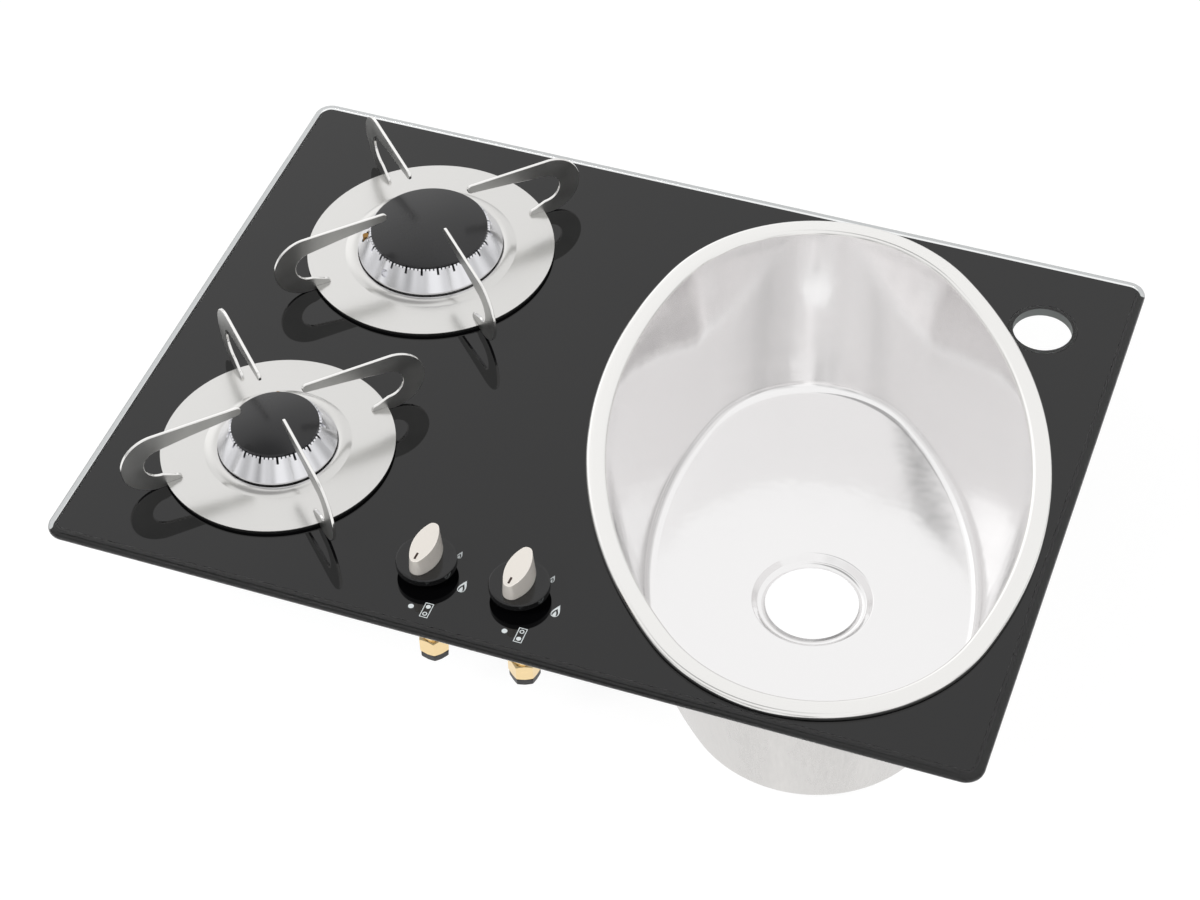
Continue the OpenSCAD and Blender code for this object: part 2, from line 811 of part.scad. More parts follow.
module along_axes(o, x, y, z) {
    multmatrix([[x[0], y[0], z[0], o[0]], [x[1], y[1], z[1], o[1]], [x[2], y[2], z[2], o[2]], [0, 0, 0, 1]]) children();
}

module bar_run(p, q, d) {
    z = unit(q - p);
    x = abs(z[2]) > 0.5 ? [1, 0, 0] : [0, 0, 1];
    along_axes(p, x, cross(z, x), z) cylinder(d = d, h = norm(q - p));
}

module bar_bend(corner, before, after, r, d) {
    turn = acos(before * after);
    side = unit(after - before * (before * after));
    start = corner - before * r * tan(turn / 2);
    along_axes(start + side * r, -side, before, cross(-side, before))
        rotate_extrude(angle = turn) translate([r, 0]) circle(d = d);
}

module bent_bar(points, r, d) {
    last = len(points) - 1;
    dirs = [for (k = [0 : last - 1]) unit(points[k + 1] - points[k])];
    // Length that each corner's bend takes from the runs on both sides of it
    takes = [for (k = [0 : last]) k == 0 || k == last ? 0 : r * tan(acos(dirs[k - 1] * dirs[k]) / 2)];
    for (k = [0 : last - 1])
        bar_run(points[k] + takes[k] * dirs[k], points[k + 1] - takes[k + 1] * dirs[k], d);
    for (k = [1 : last - 1])
        bar_bend(points[k], dirs[k - 1], dirs[k], r, d);
}

// Where a thermocouple stands
function couple_at(i) = [
    round(100 * (burner_pos[i][0] + couple_r[i] * cos(couple_turn[i]))) / 100,
    round(100 * (burner_pos[i][1] + couple_r[i] * sin(couple_turn[i]))) / 100
];
// Where its lead enters the safety valve
function lead_end(k) = [knob_pos[k][0] - tap_r - valve_len - valve_collar_len, knob_pos[k][1], valve_z];

module thermocouple(i, route) {
    c = couple_at(i);
    low = seat_z - shoulder_t - collar_h;
    color("#c08a4a") {
        at(c) translate([0, 0, low]) cylinder(d = couple_d, h = rim_z - couple_top_drop - low);
        at(c) translate([0, 0, low]) cylinder(d = couple_d + 2 * collar_over, h = collar_h);
        bent_bar(concat([[c[0], c[1], low + collar_h]], route), lead_bend, lead_d);
    }
}

module rear_thermocouple() {
    c = couple_at(rear);
    e = lead_end(left);
    x = burner_pos[rear][0] + rear_lead_beside_burner;
    y = knob_pos[left][1] + rear_lead_behind_tap;
    z = lead_z[rear];
    thermocouple(rear, [[c[0], c[1], z], [c[0], y, z], [x, y, z], [x, e[1], z], e]);
}

module front_thermocouple() {
    c = couple_at(front);
    e = lead_end(right);
    x = e[0] - lead_bend - valve_collar_len;
    y = burner_pos[front][1] + front_lead_behind_burner;
    z = lead_z[front];
    thermocouple(front, [[c[0], c[1], z], [c[0], y, z], [x, y, z], [x, e[1], z], [x, e[1], e[2]], e]);
}

// A gas pipe from a tap's outlet at its rear to the boss in a cup
module gas_pipe(i, k) {
    from = [knob_pos[k][0], knob_pos[k][1] + tap_r + outlet_len - pipe_seat, pipe_z[i]];
    to = [burner_pos[i][0] + pipe_seat, burner_pos[i][1], pipe_z[i]];
    color("#b9bcc0") bent_bar([from, [from[0], to[1], pipe_z[i]], to], pipe_bend, pipe_d);
}

// Tray

module tray_2d(inset) {
    w = [tray_left - panel_w / 2, knob_pos[right][0] + tray_right];
    d = [tray_front - panel_d / 2, panel_d / 2 - tray_rear];
    difference() {
        translate([(w[0] + w[1]) / 2, (d[0] + d[1]) / 2])
            rounded_rect_2d(w[1] - w[0] - 2 * inset, d[1] - d[0] - 2 * inset, tray_corner_r - inset);
        in_sink() sink_oval_2d(-tray_sink_gap - inset);
    }
}

module tray_screw_places(i) {
    for (k = [0 : tray_screws_n - 1])
        rotate([0, 0, burner_screw_turn + 360 / tray_screws_n * (k + 0.5)])
            translate([cup_r[i] - tray_screw_in, 0, 0]) children();
}

module tap_screw_places() {
    for (k = [left, right], s = [-1, 1])
        at(knob_pos[k]) translate([s * tap_screw_x, 0, 0]) children();
}

module under_tray() {
    flange_inset = -tray_flange;
    color("#aeb2b5") difference() {
        union() {
            translate([0, 0, -tray_h]) linear_extrude(tray_h) tray_2d(0);
            translate([0, 0, -tray_t]) linear_extrude(tray_t) intersection() {
                tray_2d(flange_inset);
                difference() {
                    square([panel_w, panel_d], center = true);
                    in_sink() sink_oval_2d(-tray_sink_gap);
                }
            }
        }
        translate([0, 0, tray_floor_z]) linear_extrude(tray_h + cut) tray_2d(tray_t);
        for (k = [left, right])
            at(knob_pos[k]) translate([0, 0, -tray_h - cut]) cylinder(r = inlet_r + neck_hole_over, h = tray_t + 2 * cut);
        tap_screw_places() translate([0, 0, -tray_h - cut]) cylinder(d = tap_screw_d, h = tray_t + 2 * cut);
        for (i = [rear, front])
            at(burner_pos[i]) tray_screw_places(i) translate([0, 0, -tray_h - cut])
                cylinder(d = tray_screw_d + 2 * slot_clear, h = tray_t + 2 * cut);
    }
}

module tray_screws() {
    color("#c9cacc") for (i = [rear, front])
        at(burner_pos[i]) tray_screw_places(i) {
            translate([0, 0, -tray_h]) cylinder(d = tray_screw_d, h = tray_t + tray_screw_len - slot_clear);
            translate([0, 0, -tray_h - screw_head_h]) cylinder(d = tray_screw_d + 2 * screw_head_over, h = screw_head_h);
        }
}

// Taps

tap_top_z = -tap_top;
bonnet_top_z = tap_top_z + bonnet_t;
plug_low_z = tray_floor_z + chamber_floor;
plug_top_z = plug_low_z + plug_h;

module tap_body(k, i) {
    color("#d9ab5a") at(knob_pos[k]) difference() {
        union() {
            translate([0, 0, tray_floor_z]) cylinder(r = tap_r, h = tap_top_z - tray_floor_z);
            translate([-base_w / 2, -base_d / 2, tray_floor_z]) cube([base_w, base_d, base_t]);
            translate([0, 0, pipe_z[i]]) rotate([-90, 0, 0]) cylinder(r = outlet_r, h = tap_r + outlet_len);
            // Neck through the tray, with its round collar above the nut
            translate([0, 0, -nut_drop]) cylinder(r = inlet_r, h = nut_drop + tray_floor_z);
            translate([0, 0, -nut_drop]) cylinder(r = collar_r, h = collar_len);
            translate([0, 0, -nut_drop - nut_h]) cylinder(r = inlet_r, h = nut_h);
        }
        translate([0, 0, plug_low_z]) cylinder(r = chamber_r, h = tap_top_z - plug_low_z + cut);
        translate([0, 0, -nut_drop - nut_h - cut]) cylinder(r = inlet_bore_r, h = nut_drop + nut_h + plug_low_z + 2 * cut);
        translate([0, 0, pipe_z[i]]) rotate([-90, 0, 0]) translate([0, 0, tap_r + outlet_len - pipe_seat])
            cylinder(d = pipe_d + 2 * slot_clear, h = pipe_seat + cut);
        translate([0, 0, valve_z]) rotate([0, -90, 0]) translate([0, 0, tap_r - cut])
            cylinder(r = valve_collar_r, h = 2 * cut);
        for (s = [-1, 1])
            translate([s * tap_screw_x, 0, tray_floor_z - cut]) cylinder(d = tap_screw_d, h = base_t + 2 * cut);
    }
}

module tap_plug(k) {
    color("#caa050") at(knob_pos[k]) rotate([0, 0, -off_turn]) difference() {
        translate([0, 0, plug_low_z + plug_float]) cylinder(r = chamber_r - running, h = plug_h - plug_float);
        translate([0, 0, plug_low_z]) spindle_bar(plug_h + cut, running);
    }
}

// The spindle's section has one flat, which turns the plug
module spindle_bar(h, over) {
    linear_extrude(h) difference() {
        circle(spindle_r + over);
        translate([spindle_r - spindle_flat + over, -2 * spindle_r]) square([2 * spindle_r, 4 * spindle_r]);
    }
}

module bonnet(k) {
    color("#b9bbbd") at(knob_pos[k]) difference() {
        translate([0, 0, tap_top_z]) cylinder(r = tap_r, h = bonnet_t);
        translate([0, 0, tap_top_z - cut]) cylinder(r = spindle_r + running, h = bonnet_t + 2 * cut);
    }
}

function spring_low_z() = plug_top_z + spring_gap + spring_wire / 2;
function spring_high_z() = tap_top_z - stop_collar_gap - spring_gap - spring_wire / 2;

module spring(k) {
    n = ceil(spring_turns * spring_steps);
    low = spring_low_z();
    pitch = (spring_high_z() - low) / n;
    points = [
        for (s = [0 : n], j = [0 : spring_sides - 1])
            let (t = 360 * spring_turns * s / n, u = 360 * j / spring_sides, r = spring_r - spring_wire / 2 * cos(u))
                [r * cos(t), r * sin(t), low + pitch * s + spring_wire / 2 * sin(u)]
    ];
    sides = [
        for (s = [0 : n - 1], j = [0 : spring_sides - 1])
            let (a = s * spring_sides + j, b = s * spring_sides + (j + 1) % spring_sides)
                [a, b, b + spring_sides, a + spring_sides]
    ];
    ends = [
        [for (j = [spring_sides - 1 : -1 : 0]) j],
        [for (j = [0 : spring_sides - 1]) n * spring_sides + j]
    ];
    color("#c9cacc") at(knob_pos[k]) polyhedron(points, concat(sides, ends));
}

module safety_valve(k) {
    color("#c9cacc") at(knob_pos[k]) translate([0, 0, valve_z]) rotate([0, -90, 0]) {
        translate([0, 0, tap_r - cut + slot_clear]) cylinder(r = valve_collar_r - slot_clear, h = 2 * cut);
        translate([0, 0, tap_r]) cylinder(r = valve_r, h = valve_len);
        translate([0, 0, tap_r + valve_len]) cylinder(r = valve_collar_r, h = valve_collar_len);
    }
}

module tap_screws() {
    color("#c9cacc") tap_screw_places() {
        translate([0, 0, -tray_h]) cylinder(d = tap_screw_d, h = tray_t + base_t);
        translate([0, 0, tray_floor_z + base_t]) cylinder(d = tap_screw_d + 2 * screw_head_over, h = screw_head_h);
    }
}

module union_nut(k) {
    color("#e0b060") at(knob_pos[k]) rotate([0, 0, nut_turn[k]]) difference() {
        translate([0, 0, -nut_drop - nut_h]) nut_bar(nut_af, nut_h);
        translate([0, 0, -nut_drop - nut_h - cut]) cylinder(r = inlet_r, h = nut_h + 2 * cut);
    }
}

module end_cap(k) {
    low = -nut_drop - nut_h;
    color("#444444") at(knob_pos[k]) rotate([0, 0, nut_turn[k]]) {
        translate([0, 0, low - end_cap_h]) nut_bar(cap_af, end_cap_h);
        translate([0, 0, low]) cylinder(r = inlet_bore_r - slot_clear, h = end_cap_in);
    }
}

// Knobs

module grommet(k) {
    bore = spindle_r + grommet_bore_over;
    color("#1b1b1b") at(knob_pos[k]) rotate_extrude() polygon([
        [bore, -grommet_under_t / 2], [grommet_hole_r - slot_clear, -grommet_under_t / 2],
        [grommet_hole_r - slot_clear, glass_t], [grommet_lip_r, glass_t],
        [grommet_lip_r - grommet_lip_t / 2, glass_t + grommet_lip_t], [bore, glass_t + grommet_lip_t]
    ]);
}

module spindle(k) {
    low = plug_top_z - spindle_in_plug + press_travel;
    color("#c4c6c8") at(knob_pos[k]) rotate([0, 0, -off_turn]) {
        translate([0, 0, low - press_travel]) spindle_bar(tap_top_z - stop_collar_gap - low + press_travel, 0);
        translate([0, 0, tap_top_z - stop_collar_gap]) cylinder(r = stop_collar_r, h = stop_collar_h);
        translate([0, 0, tap_top_z - stop_collar_gap]) cylinder(r = spindle_r, h = dial_top + grip_socket - tap_top_z + stop_collar_gap);
    }
}

module dial(k) {
    hub_z = dial_z - hub_drop;
    face_z = dial_top - dial_face_t;
    color("#1c1c1e") at(knob_pos[k]) rotate_extrude() difference() {
        polygon([
            [spindle_r, hub_z], [hub_r, hub_z], [hub_r, face_z], [dial_r - dial_wall, face_z],
            [dial_r - dial_wall, dial_z], [dial_r, dial_z], [dial_r, dial_top], [spindle_r, dial_top]
        ]);
        difference() {
            translate([dial_r - dial_edge_r, dial_top - dial_edge_r]) square(dial_edge_r + cut);
            translate([dial_r - dial_edge_r, dial_top - dial_edge_r]) circle(dial_edge_r);
        }
    }
}

grip_lean = atan2(grip_rear_h - grip_front_h, grip_len - grip_rear_in);

// Grip: an oval foot on the dial, rising to a slanted oval face
module grip(k) {
    face_a = (grip_len - grip_rear_in) / 2 / cos(grip_lean);
    color("#d9cfc6") at(knob_pos[k]) rotate([0, 0, -off_turn]) translate([0, 0, dial_top]) difference() {
        hull() {
            linear_extrude(grip_land_t) rotate(90) oval_2d(grip_len / 2, grip_wid / 2, grip_end_r, $fn = grip_fn);
            on_grip_face() translate([0, 0, -grip_land_t]) linear_extrude(grip_land_t) rotate(90)
                oval_2d(face_a, grip_wid / 2 - grip_taper, grip_end_r - grip_taper, $fn = grip_fn);
        }
        translate([0, 0, -cut]) cylinder(r = spindle_r, h = grip_socket + cut);
        pointer_block(pointer_depth, cut);
    }
}

module on_grip_face() {
    translate([0, -grip_rear_in / 2, (grip_front_h + grip_rear_h) / 2]) rotate([grip_lean, 0, 0]) children();
}

module pointer_block(deep, over) {
    on_grip_face() translate([-pointer_w / 2, -pointer_r - pointer_len / 2, -deep]) cube([pointer_w, pointer_len, deep + over]);
}

module pointer(k) {
    color("#4a2f22") at(knob_pos[k]) rotate([0, 0, -off_turn]) translate([0, 0, dial_top]) pointer_block(pointer_depth, 0);
}

glass_panel();
sink_bowl();
sink_seal();
sink_clips();
sink_clip_screws();
plate(rear);  // rear_plate
plate(front);  // front_plate
plate_seal(rear);  // rear_plate_seal
plate_seal(front);  // front_plate_seal
support(rear, 0);  // rear_support_1
support(rear, 1);  // rear_support_2
support(rear, 2);  // rear_support_3
support(rear, 3);  // rear_support_4
support(front, 0);  // front_support_1
support(front, 1);  // front_support_2
support(front, 2);  // front_support_3
support(front, 3);  // front_support_4
cup(rear);  // rear_cup
cup(front);  // front_cup
crown(rear);  // rear_crown
crown(front);  // front_crown
cap(rear);  // rear_cap
cap(front);  // front_cap
jet(rear);  // rear_jet
jet(front);  // front_jet
rear_thermocouple();
front_thermocouple();
burner_screws();
under_tray();
tray_screws();
gas_pipe(rear, left);  // rear_gas_pipe
gas_pipe(front, right);  // front_gas_pipe
tap_body(left, rear);  // left_tap_body
tap_body(right, front);  // right_tap_body
tap_plug(left);  // left_tap_plug
tap_plug(right);  // right_tap_plug
bonnet(left);  // left_bonnet
bonnet(right);  // right_bonnet
spring(left);  // left_spring
spring(right);  // right_spring
safety_valve(left);  // left_safety_valve
safety_valve(right);  // right_safety_valve
tap_screws();
union_nut(left);  // left_union_nut
union_nut(right);  // right_union_nut
end_cap(left);  // left_end_cap
end_cap(right);  // right_end_cap
grommet(left);  // left_grommet
grommet(right);  // right_grommet
spindle(left);  // left_spindle
spindle(right);  // right_spindle
dial(left);  // left_dial
dial(right);  // right_dial
grip(left);  // left_grip
grip(right);  // right_grip
pointer(left);  // left_pointer
pointer(right);  // right_pointer
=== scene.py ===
"""Looks of a gas hob with two burners and an angled oval sink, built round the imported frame.

Lengths in the classes are in millimetres, as a maker writes them, and MM turns them to metres. The frame's x
runs to the right, y to the rear and z up, and z = 0 is the underside of the glass.
"""

import json
import logging
import math
from dataclasses import dataclass
from enum import Enum
from typing import Any, Sequence

import bmesh
import bpy
from mathutils import Matrix, Vector

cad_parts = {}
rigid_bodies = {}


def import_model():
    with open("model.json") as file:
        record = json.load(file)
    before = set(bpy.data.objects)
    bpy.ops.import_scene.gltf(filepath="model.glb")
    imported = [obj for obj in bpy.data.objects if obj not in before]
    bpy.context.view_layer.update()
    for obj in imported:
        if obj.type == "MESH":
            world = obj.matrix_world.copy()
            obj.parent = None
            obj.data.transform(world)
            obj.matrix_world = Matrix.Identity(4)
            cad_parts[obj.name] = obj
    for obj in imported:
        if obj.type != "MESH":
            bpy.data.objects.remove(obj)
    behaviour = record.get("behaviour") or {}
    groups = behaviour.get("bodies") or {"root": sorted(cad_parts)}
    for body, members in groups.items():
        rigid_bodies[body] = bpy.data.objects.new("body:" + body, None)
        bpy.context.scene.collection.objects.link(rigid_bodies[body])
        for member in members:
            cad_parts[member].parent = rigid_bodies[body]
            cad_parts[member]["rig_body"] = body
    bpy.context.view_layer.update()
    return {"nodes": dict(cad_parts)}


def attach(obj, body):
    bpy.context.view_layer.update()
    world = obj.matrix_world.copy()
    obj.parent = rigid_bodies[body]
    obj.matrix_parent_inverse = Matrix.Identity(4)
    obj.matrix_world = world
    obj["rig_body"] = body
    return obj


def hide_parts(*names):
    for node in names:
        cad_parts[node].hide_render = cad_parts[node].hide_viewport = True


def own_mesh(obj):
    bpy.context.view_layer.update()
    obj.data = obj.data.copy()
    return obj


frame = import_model()

log = logging.getLogger("hob_and_sink")

Pair = tuple[float, float]
Triple = tuple[float, float, float]
Tree = bpy.types.NodeTree
Socket = bpy.types.NodeSocket
Shape = bmesh.types.BMesh
Edge = bmesh.types.BMEdge
Values = dict[Any, Any] | None

MM = 0.001
MICRON = 0.000001
UP = Vector((0, 0, 1))
HALF_TURN = math.pi
FULL_TURN = 2 * math.pi
WHITE = (1, 1, 1, 1)
SMOOTH = {"interpolation_type": "SMOOTHSTEP"}

# Heights of a face's normal: above LEVEL it lies flat, and within UPRIGHT of zero it stands
LEVEL = 0.999
UPRIGHT = 0.1


class Side(Enum):
    """The two knobs and their taps."""

    LEFT = "left"
    RIGHT = "right"


class Row(Enum):
    """The two burners."""

    REAR = "rear"
    FRONT = "front"


def linear(hex_code: str) -> tuple[float, float, float, float]:
    """Turns an sRGB colour into the linear one that a shader takes.

    Args:
        hex_code: the colour as "#RRGGBB".

    Returns:
        Red, green, blue and an alpha of 1.
    """
    parts = [int(hex_code[k : k + 2], 16) / 255 for k in (1, 3, 5)]
    red, green, blue = (c / 12.92 if c <= 0.04045 else ((c + 0.055) / 1.055) ** 2.4 for c in parts)
    return red, green, blue, 1.0


def add_node(tree: Tree, kind: str, settings: Values = None, links: Values = None) -> bpy.types.Node:
    """Adds a node with its settings and links.

    Args:
        tree: the material's or world's tree.
        kind: the node's type name.
        settings: values by input name, input number or attribute name.
        links: source sockets by input name or number.

    Returns:
        The new node.
    """
    node = tree.nodes.new(kind)
    for key, value in (settings or {}).items():
        if isinstance(key, int) or key in node.inputs:
            node.inputs[key].default_value = value
        else:
            setattr(node, key, value)
    for key, source in (links or {}).items():
        tree.links.new(source, node.inputs[key])
    return node


def range_settings(source: Pair, target: Pair) -> dict[Any, Any]:
    """Gives the settings that map one range to another."""
    return {"From Min": source[0], "From Max": source[1], "To Min": target[0], "To Max": target[1]}


def blank_tree(owner: bpy.types.Material | bpy.types.World) -> Tree:
    """Empties a node tree.

    Args:
        owner: the material or world that has it.

    Returns:
        The tree.
    """
    owner.use_nodes = True
    owner.node_tree.nodes.clear()
    return owner.node_tree


# Finishes

NOISE_ROUGHNESS = 0.55
GRAIN_DETAIL = 4.0
PATCH_DETAIL = 2.0
GRAIN_SHARE = 0.5
SMOOTHEST = 0.02
# Noise stays between these for the most part
QUARTERS = (0.25, 0.75)


@dataclass(frozen=True)
class Finish:
    """One real finish: its colour, gloss and the fine grain that its making leaves.

    The grain is noise of a real size. It varies the roughness by gloss and the colour by the share shade, and
    gives a small relief. The patches are much larger noise that does the same, and waves of their size bend
    the reflections where they are set.
    """

    name: str
    colour: str
    metallic: float = 0.0
    roughness: float = 0.4
    grain_mm: float = 0.6
    stretch: Triple = (1.0, 1.0, 1.0)
    gloss: float = 0.06
    shade: float = 0.04
    relief_um: float = 3.0
    specular: float = 0.5
    patch_mm: float = 45.0
    wave_um: float = 0.0

    def noise(self, tree: Tree, size_mm: float, detail: float) -> Socket:
        """Adds object-space noise of a real size.

        Args:
            tree: the material's tree.
            size_mm: the size of one grain.
            detail: how many finer layers it has.

        Returns:
            The socket with the noise, from 0 to 1.
        """
        where = add_node(tree, "ShaderNodeTexCoord")
        scale = tuple(1 / s for s in self.stretch)
        mapped = add_node(tree, "ShaderNodeMapping", {"Scale": scale}, {"Vector": where.outputs["Object"]})
        settings = {"Scale": 1 / (size_mm * MM), "Detail": detail, "Roughness": NOISE_ROUGHNESS}
        grain = add_node(tree, "ShaderNodeTexNoise", settings, {"Vector": mapped.outputs["Vector"]})
        return grain.outputs["Fac"]

    def tint(self, tree: Tree, source: Socket) -> Socket:
        """Shades the finish's colour a little by the noise.

        Args:
            tree: the material's tree.
            source: the noise.

        Returns:
            The socket with the colour.
        """
        base = linear(self.colour)
        dark = tuple(c * (1 - self.shade) for c in base[:3]) + (1.0,)
        pale = tuple(min(1.0, c * (1 + self.shade)) for c in base[:3]) + (1.0,)
        mixed = add_node(tree, "ShaderNodeMix", {"data_type": "RGBA", 6: dark, 7: pale}, {0: source})
        return mixed.outputs[2]

    def shader_settings(self) -> dict[str, Any]:
        """Gives the values that are the same all over the surface."""
        return {"Metallic": self.metallic, "Specular IOR Level": self.specular}

    def make(self) -> bpy.types.Material:
        """Builds the material, once for each name.

        Returns:
            The material.
        """
        known = bpy.data.materials.get(self.name)
        if known is not None:
            return known
        material = bpy.data.materials.new(self.name)
        tree = blank_tree(material)
        grain = self.noise(tree, self.grain_mm, GRAIN_DETAIL)
        patches = self.noise(tree, self.patch_mm, PATCH_DETAIL)
        spread = range_settings(QUARTERS, (0.0, 1 - GRAIN_SHARE))
        part = add_node(tree, "ShaderNodeMapRange", spread, {"Value": patches}).outputs["Result"]
        mixing = {"operation": "MULTIPLY_ADD", 1: GRAIN_SHARE}
        both = add_node(tree, "ShaderNodeMath", mixing, {0: grain, 2: part}).outputs[0]
        glossiest = max(SMOOTHEST, self.roughness - self.gloss)
        glosses = range_settings(QUARTERS, (glossiest, self.roughness + self.gloss))
        rough = add_node(tree, "ShaderNodeMapRange", glosses, {"Value": both}).outputs["Result"]
        slow = {"Strength": 1.0, "Distance": self.wave_um * MICRON}
        waves = add_node(tree, "ShaderNodeBump", slow, {"Height": patches})
        fine = {"Strength": 1.0, "Distance": self.relief_um * MICRON}
        over = {"Height": grain, "Normal": waves.outputs["Normal"]}
        relief = add_node(tree, "ShaderNodeBump", fine, over).outputs["Normal"]
        surface = {"Base Color": self.tint(tree, both), "Roughness": rough, "Normal": relief}
        shader = add_node(tree, "ShaderNodeBsdfPrincipled", self.shader_settings(), surface)
        add_node(tree, "ShaderNodeOutputMaterial", {}, {"Surface": shader.outputs["BSDF"]})
        return material


@dataclass(frozen=True)
class GlassFinish(Finish):
    """Float glass that light passes through."""

    ior: float = 1.5

    def shader_settings(self) -> dict[str, Any]:
        """Gives the base values, with the light passing through."""
        return super().shader_settings() | {"Transmission Weight": 1.0, "IOR": self.ior}


# What float glass has next to none of: texture
FLOAT_FACE: dict[str, float] = {"grain_mm": 8.0, "gloss": 0.004, "relief_um": 0.0}

# Float glass, 6 mm: a hard mirror-like sheen of a twentieth of the light, bright where light leaves the edge
CLEAR_GLASS = GlassFinish("float_glass_clear", "#F5F6F6", roughness=0.02, shade=0.004, **FLOAT_FACE)
# The upper half of the panel's rounded edge and a thin band round the top face: the same glass tinted grey, a
# painted shade
PAINTED_GREY_EDGE_GLASS = GlassFinish("float_glass_edge_painted_grey", "#A0A3A4", roughness=0.03, shade=0.02, **FLOAT_FACE)
# The panel's top face, where the ink lies under it: black with the same sheen
INKED_GLASS = Finish("float_glass_over_ink", "#060607", roughness=0.03, shade=0.05, **FLOAT_FACE)
# Ceramic ink fired on the underside: dead black, so that the panel above it looks black
BACK_ENAMEL = Finish("fired_black_ink", "#050506", roughness=0.7, specular=0.0, relief_um=1.0)
# Ceramic ink printed on the top: flat white
WHITE_INK = Finish("printed_white_ink", "#DFE5E6", roughness=0.55, shade=0.02, relief_um=1.0)
# Wall of a drilled hole: ground, matt and grey
GROUND_GLASS = Finish("glass_ground", "#6E7271", roughness=0.6, grain_mm=0.4, shade=0.12, relief_um=6.0)
# Stainless sheet with a satin cold-rolled face: pale, with soft reflections a few degrees wide
SATIN_SHEET = Finish(
    "stainless_satin_sheet", "#D8D7D5", 1.0, 0.2, 0.35, gloss=0.03, shade=0.012, relief_um=0.6
)
# The sink's flange, pressed flat and a little brighter than the plates
PRESSED_FLANGE = Finish(
    "stainless_pressed_flange", "#F0EFED", 1.0, 0.19, 0.35, gloss=0.03, shade=0.01, relief_um=0.6
)
# The same sheet after the deep draw: stretched bright, with a slow ripple in its reflections
DRAWN_BOWL = Finish(
    "stainless_deep_drawn", "#F3F2F2", 1.0, 0.13, 0.5, stretch=(1, 1, 2.5),
    gloss=0.04, shade=0.01, relief_um=0.5, patch_mm=26, wave_um=260,
)
# The bowl's outside, left with the upright lines of the die: brushed and less glossy, and darker than the
# inside as a painted shade of the outside under the glass. The lines are drawn coarser than they are, so that
# they show.
DIE_LINES_AND_SHADE = Finish(
    "stainless_die_lines_painted_shade", "#D3D1CF", 1.0, 0.3, 2.4, stretch=(1, 1, 40),
    gloss=0.12, shade=0.24, relief_um=4.0,
)
# Blade sides after barrel tumbling: grey and mottled
TUMBLED_STEEL = Finish("stainless_tumbled", "#C4C4C2", 1.0, 0.4, 0.45, shade=0.3, relief_um=8.0, patch_mm=30)
# Blade edges, rounded: a paler, glossier copy of the blade steel, the paler colour a painted highlight:
# bright lines
PAINTED_HIGHLIGHT_EDGE = Finish("stainless_edge_painted_highlight", "#EFEEEC", 1.0, 0.12, gloss=0.03, shade=0.02, relief_um=0.8)
# Crown turned from aluminium and polished: mirror-like with fine turning marks
POLISHED_ALLOY = Finish(
    "aluminium_turned_polished", "#E9E9EC", 1.0, 0.18, 0.25, stretch=(1, 1, 0.4),
    gloss=0.02, shade=0.015, relief_um=0.5,
)
# Vitreous enamel, satin black: charcoal with a soft wide sheen and a fine orange peel
SATIN_ENAMEL = Finish(
    "vitreous_enamel_satin", "#121214", 0.0, 0.24, 0.5,
    gloss=0.05, shade=0.15, relief_um=4.0, specular=0.55,
)
# Gloss black ABS moulding
GLOSS_ABS = Finish("abs_gloss_black", "#121213", 0.0, 0.12, 1.5, gloss=0.03, shade=0.1, relief_um=1.0)
# Metal-coated ABS with a satin lacquer: warm champagne
SATIN_CHAMPAGNE = Finish(
    "abs_satin_metallised", "#F6F0E8", 0.4, 0.3, 0.2, gloss=0.03, shade=0.02, relief_um=1.2
)
# Pointer painted in the slot: dark brown
POINTER_PAINT = Finish("painted_brown", "#33231B", 0.0, 0.5, relief_um=2.0)
# Brass turned and polished: gold with warm dark reflections
POLISHED_BRASS = Finish(
    "brass_polished", "#F0D6A6", 1.0, 0.14, 0.3, stretch=(1, 1, 0.3),
    gloss=0.04, shade=0.05, relief_um=1.2, patch_mm=9,
)
# Forged brass plug: duller, blasted
FORGED_BRASS = Finish("brass_forged", "#C79E54", 1.0, 0.38, 0.5, gloss=0.08, shade=0.1, relief_um=9.0)
# Black nylon end cap: moulded, half matt
MOULDED_NYLON = Finish("nylon_moulded", "#2B2B2C", 0.0, 0.42, 0.4, shade=0.15, relief_um=5.0)
# EPDM rubber: matt black
EPDM_RUBBER = Finish("epdm_rubber", "#141414", 0.0, 0.62, 0.5, shade=0.2, relief_um=8.0)
# Silicone seal: grey, half matt
SILICONE = Finish("silicone_grey", "#77797A", 0.0, 0.55, 0.8, shade=0.08, relief_um=6.0)
# Galvanised sheet: pale grey with faint spangle
ZINC_SHEET = Finish(
    "steel_galvanised", "#B9BCBE", 1.0, 0.38, 5.0, gloss=0.09, shade=0.09, relief_um=2.0, patch_mm=16
)
# Die-cast aluminium: grey, matt, with a fine cast skin
CAST_ALLOY = Finish("aluminium_die_cast", "#A4A6A8", 1.0, 0.5, 0.7, gloss=0.08, shade=0.1, relief_um=18.0)
# Drawn aluminium pipe: pale and half matt
DRAWN_PIPE = Finish("aluminium_pipe_drawn", "#C2C3C5", 1.0, 0.32, shade=0.05, relief_um=2.0)
# Zinc-plated screws and clips: bright, with faint cloudy patches
ZINC_PLATED = Finish("steel_zinc_plated", "#C6C8CB", 1.0, 0.26, 0.5, shade=0.06, relief_um=2.0, patch_mm=6)
# Brass-brown sheath of the thermocouple and its lead
DRAWN_COPPER = Finish("copper_drawn", "#94703F", 1.0, 0.28, 0.4, shade=0.08, relief_um=2.0, patch_mm=8)
# Spring steel wire, oiled: dark grey and smooth
SPRING_WIRE = Finish("spring_steel_wire", "#8E9094", 1.0, 0.3, 0.3, shade=0.08, relief_um=2.0)

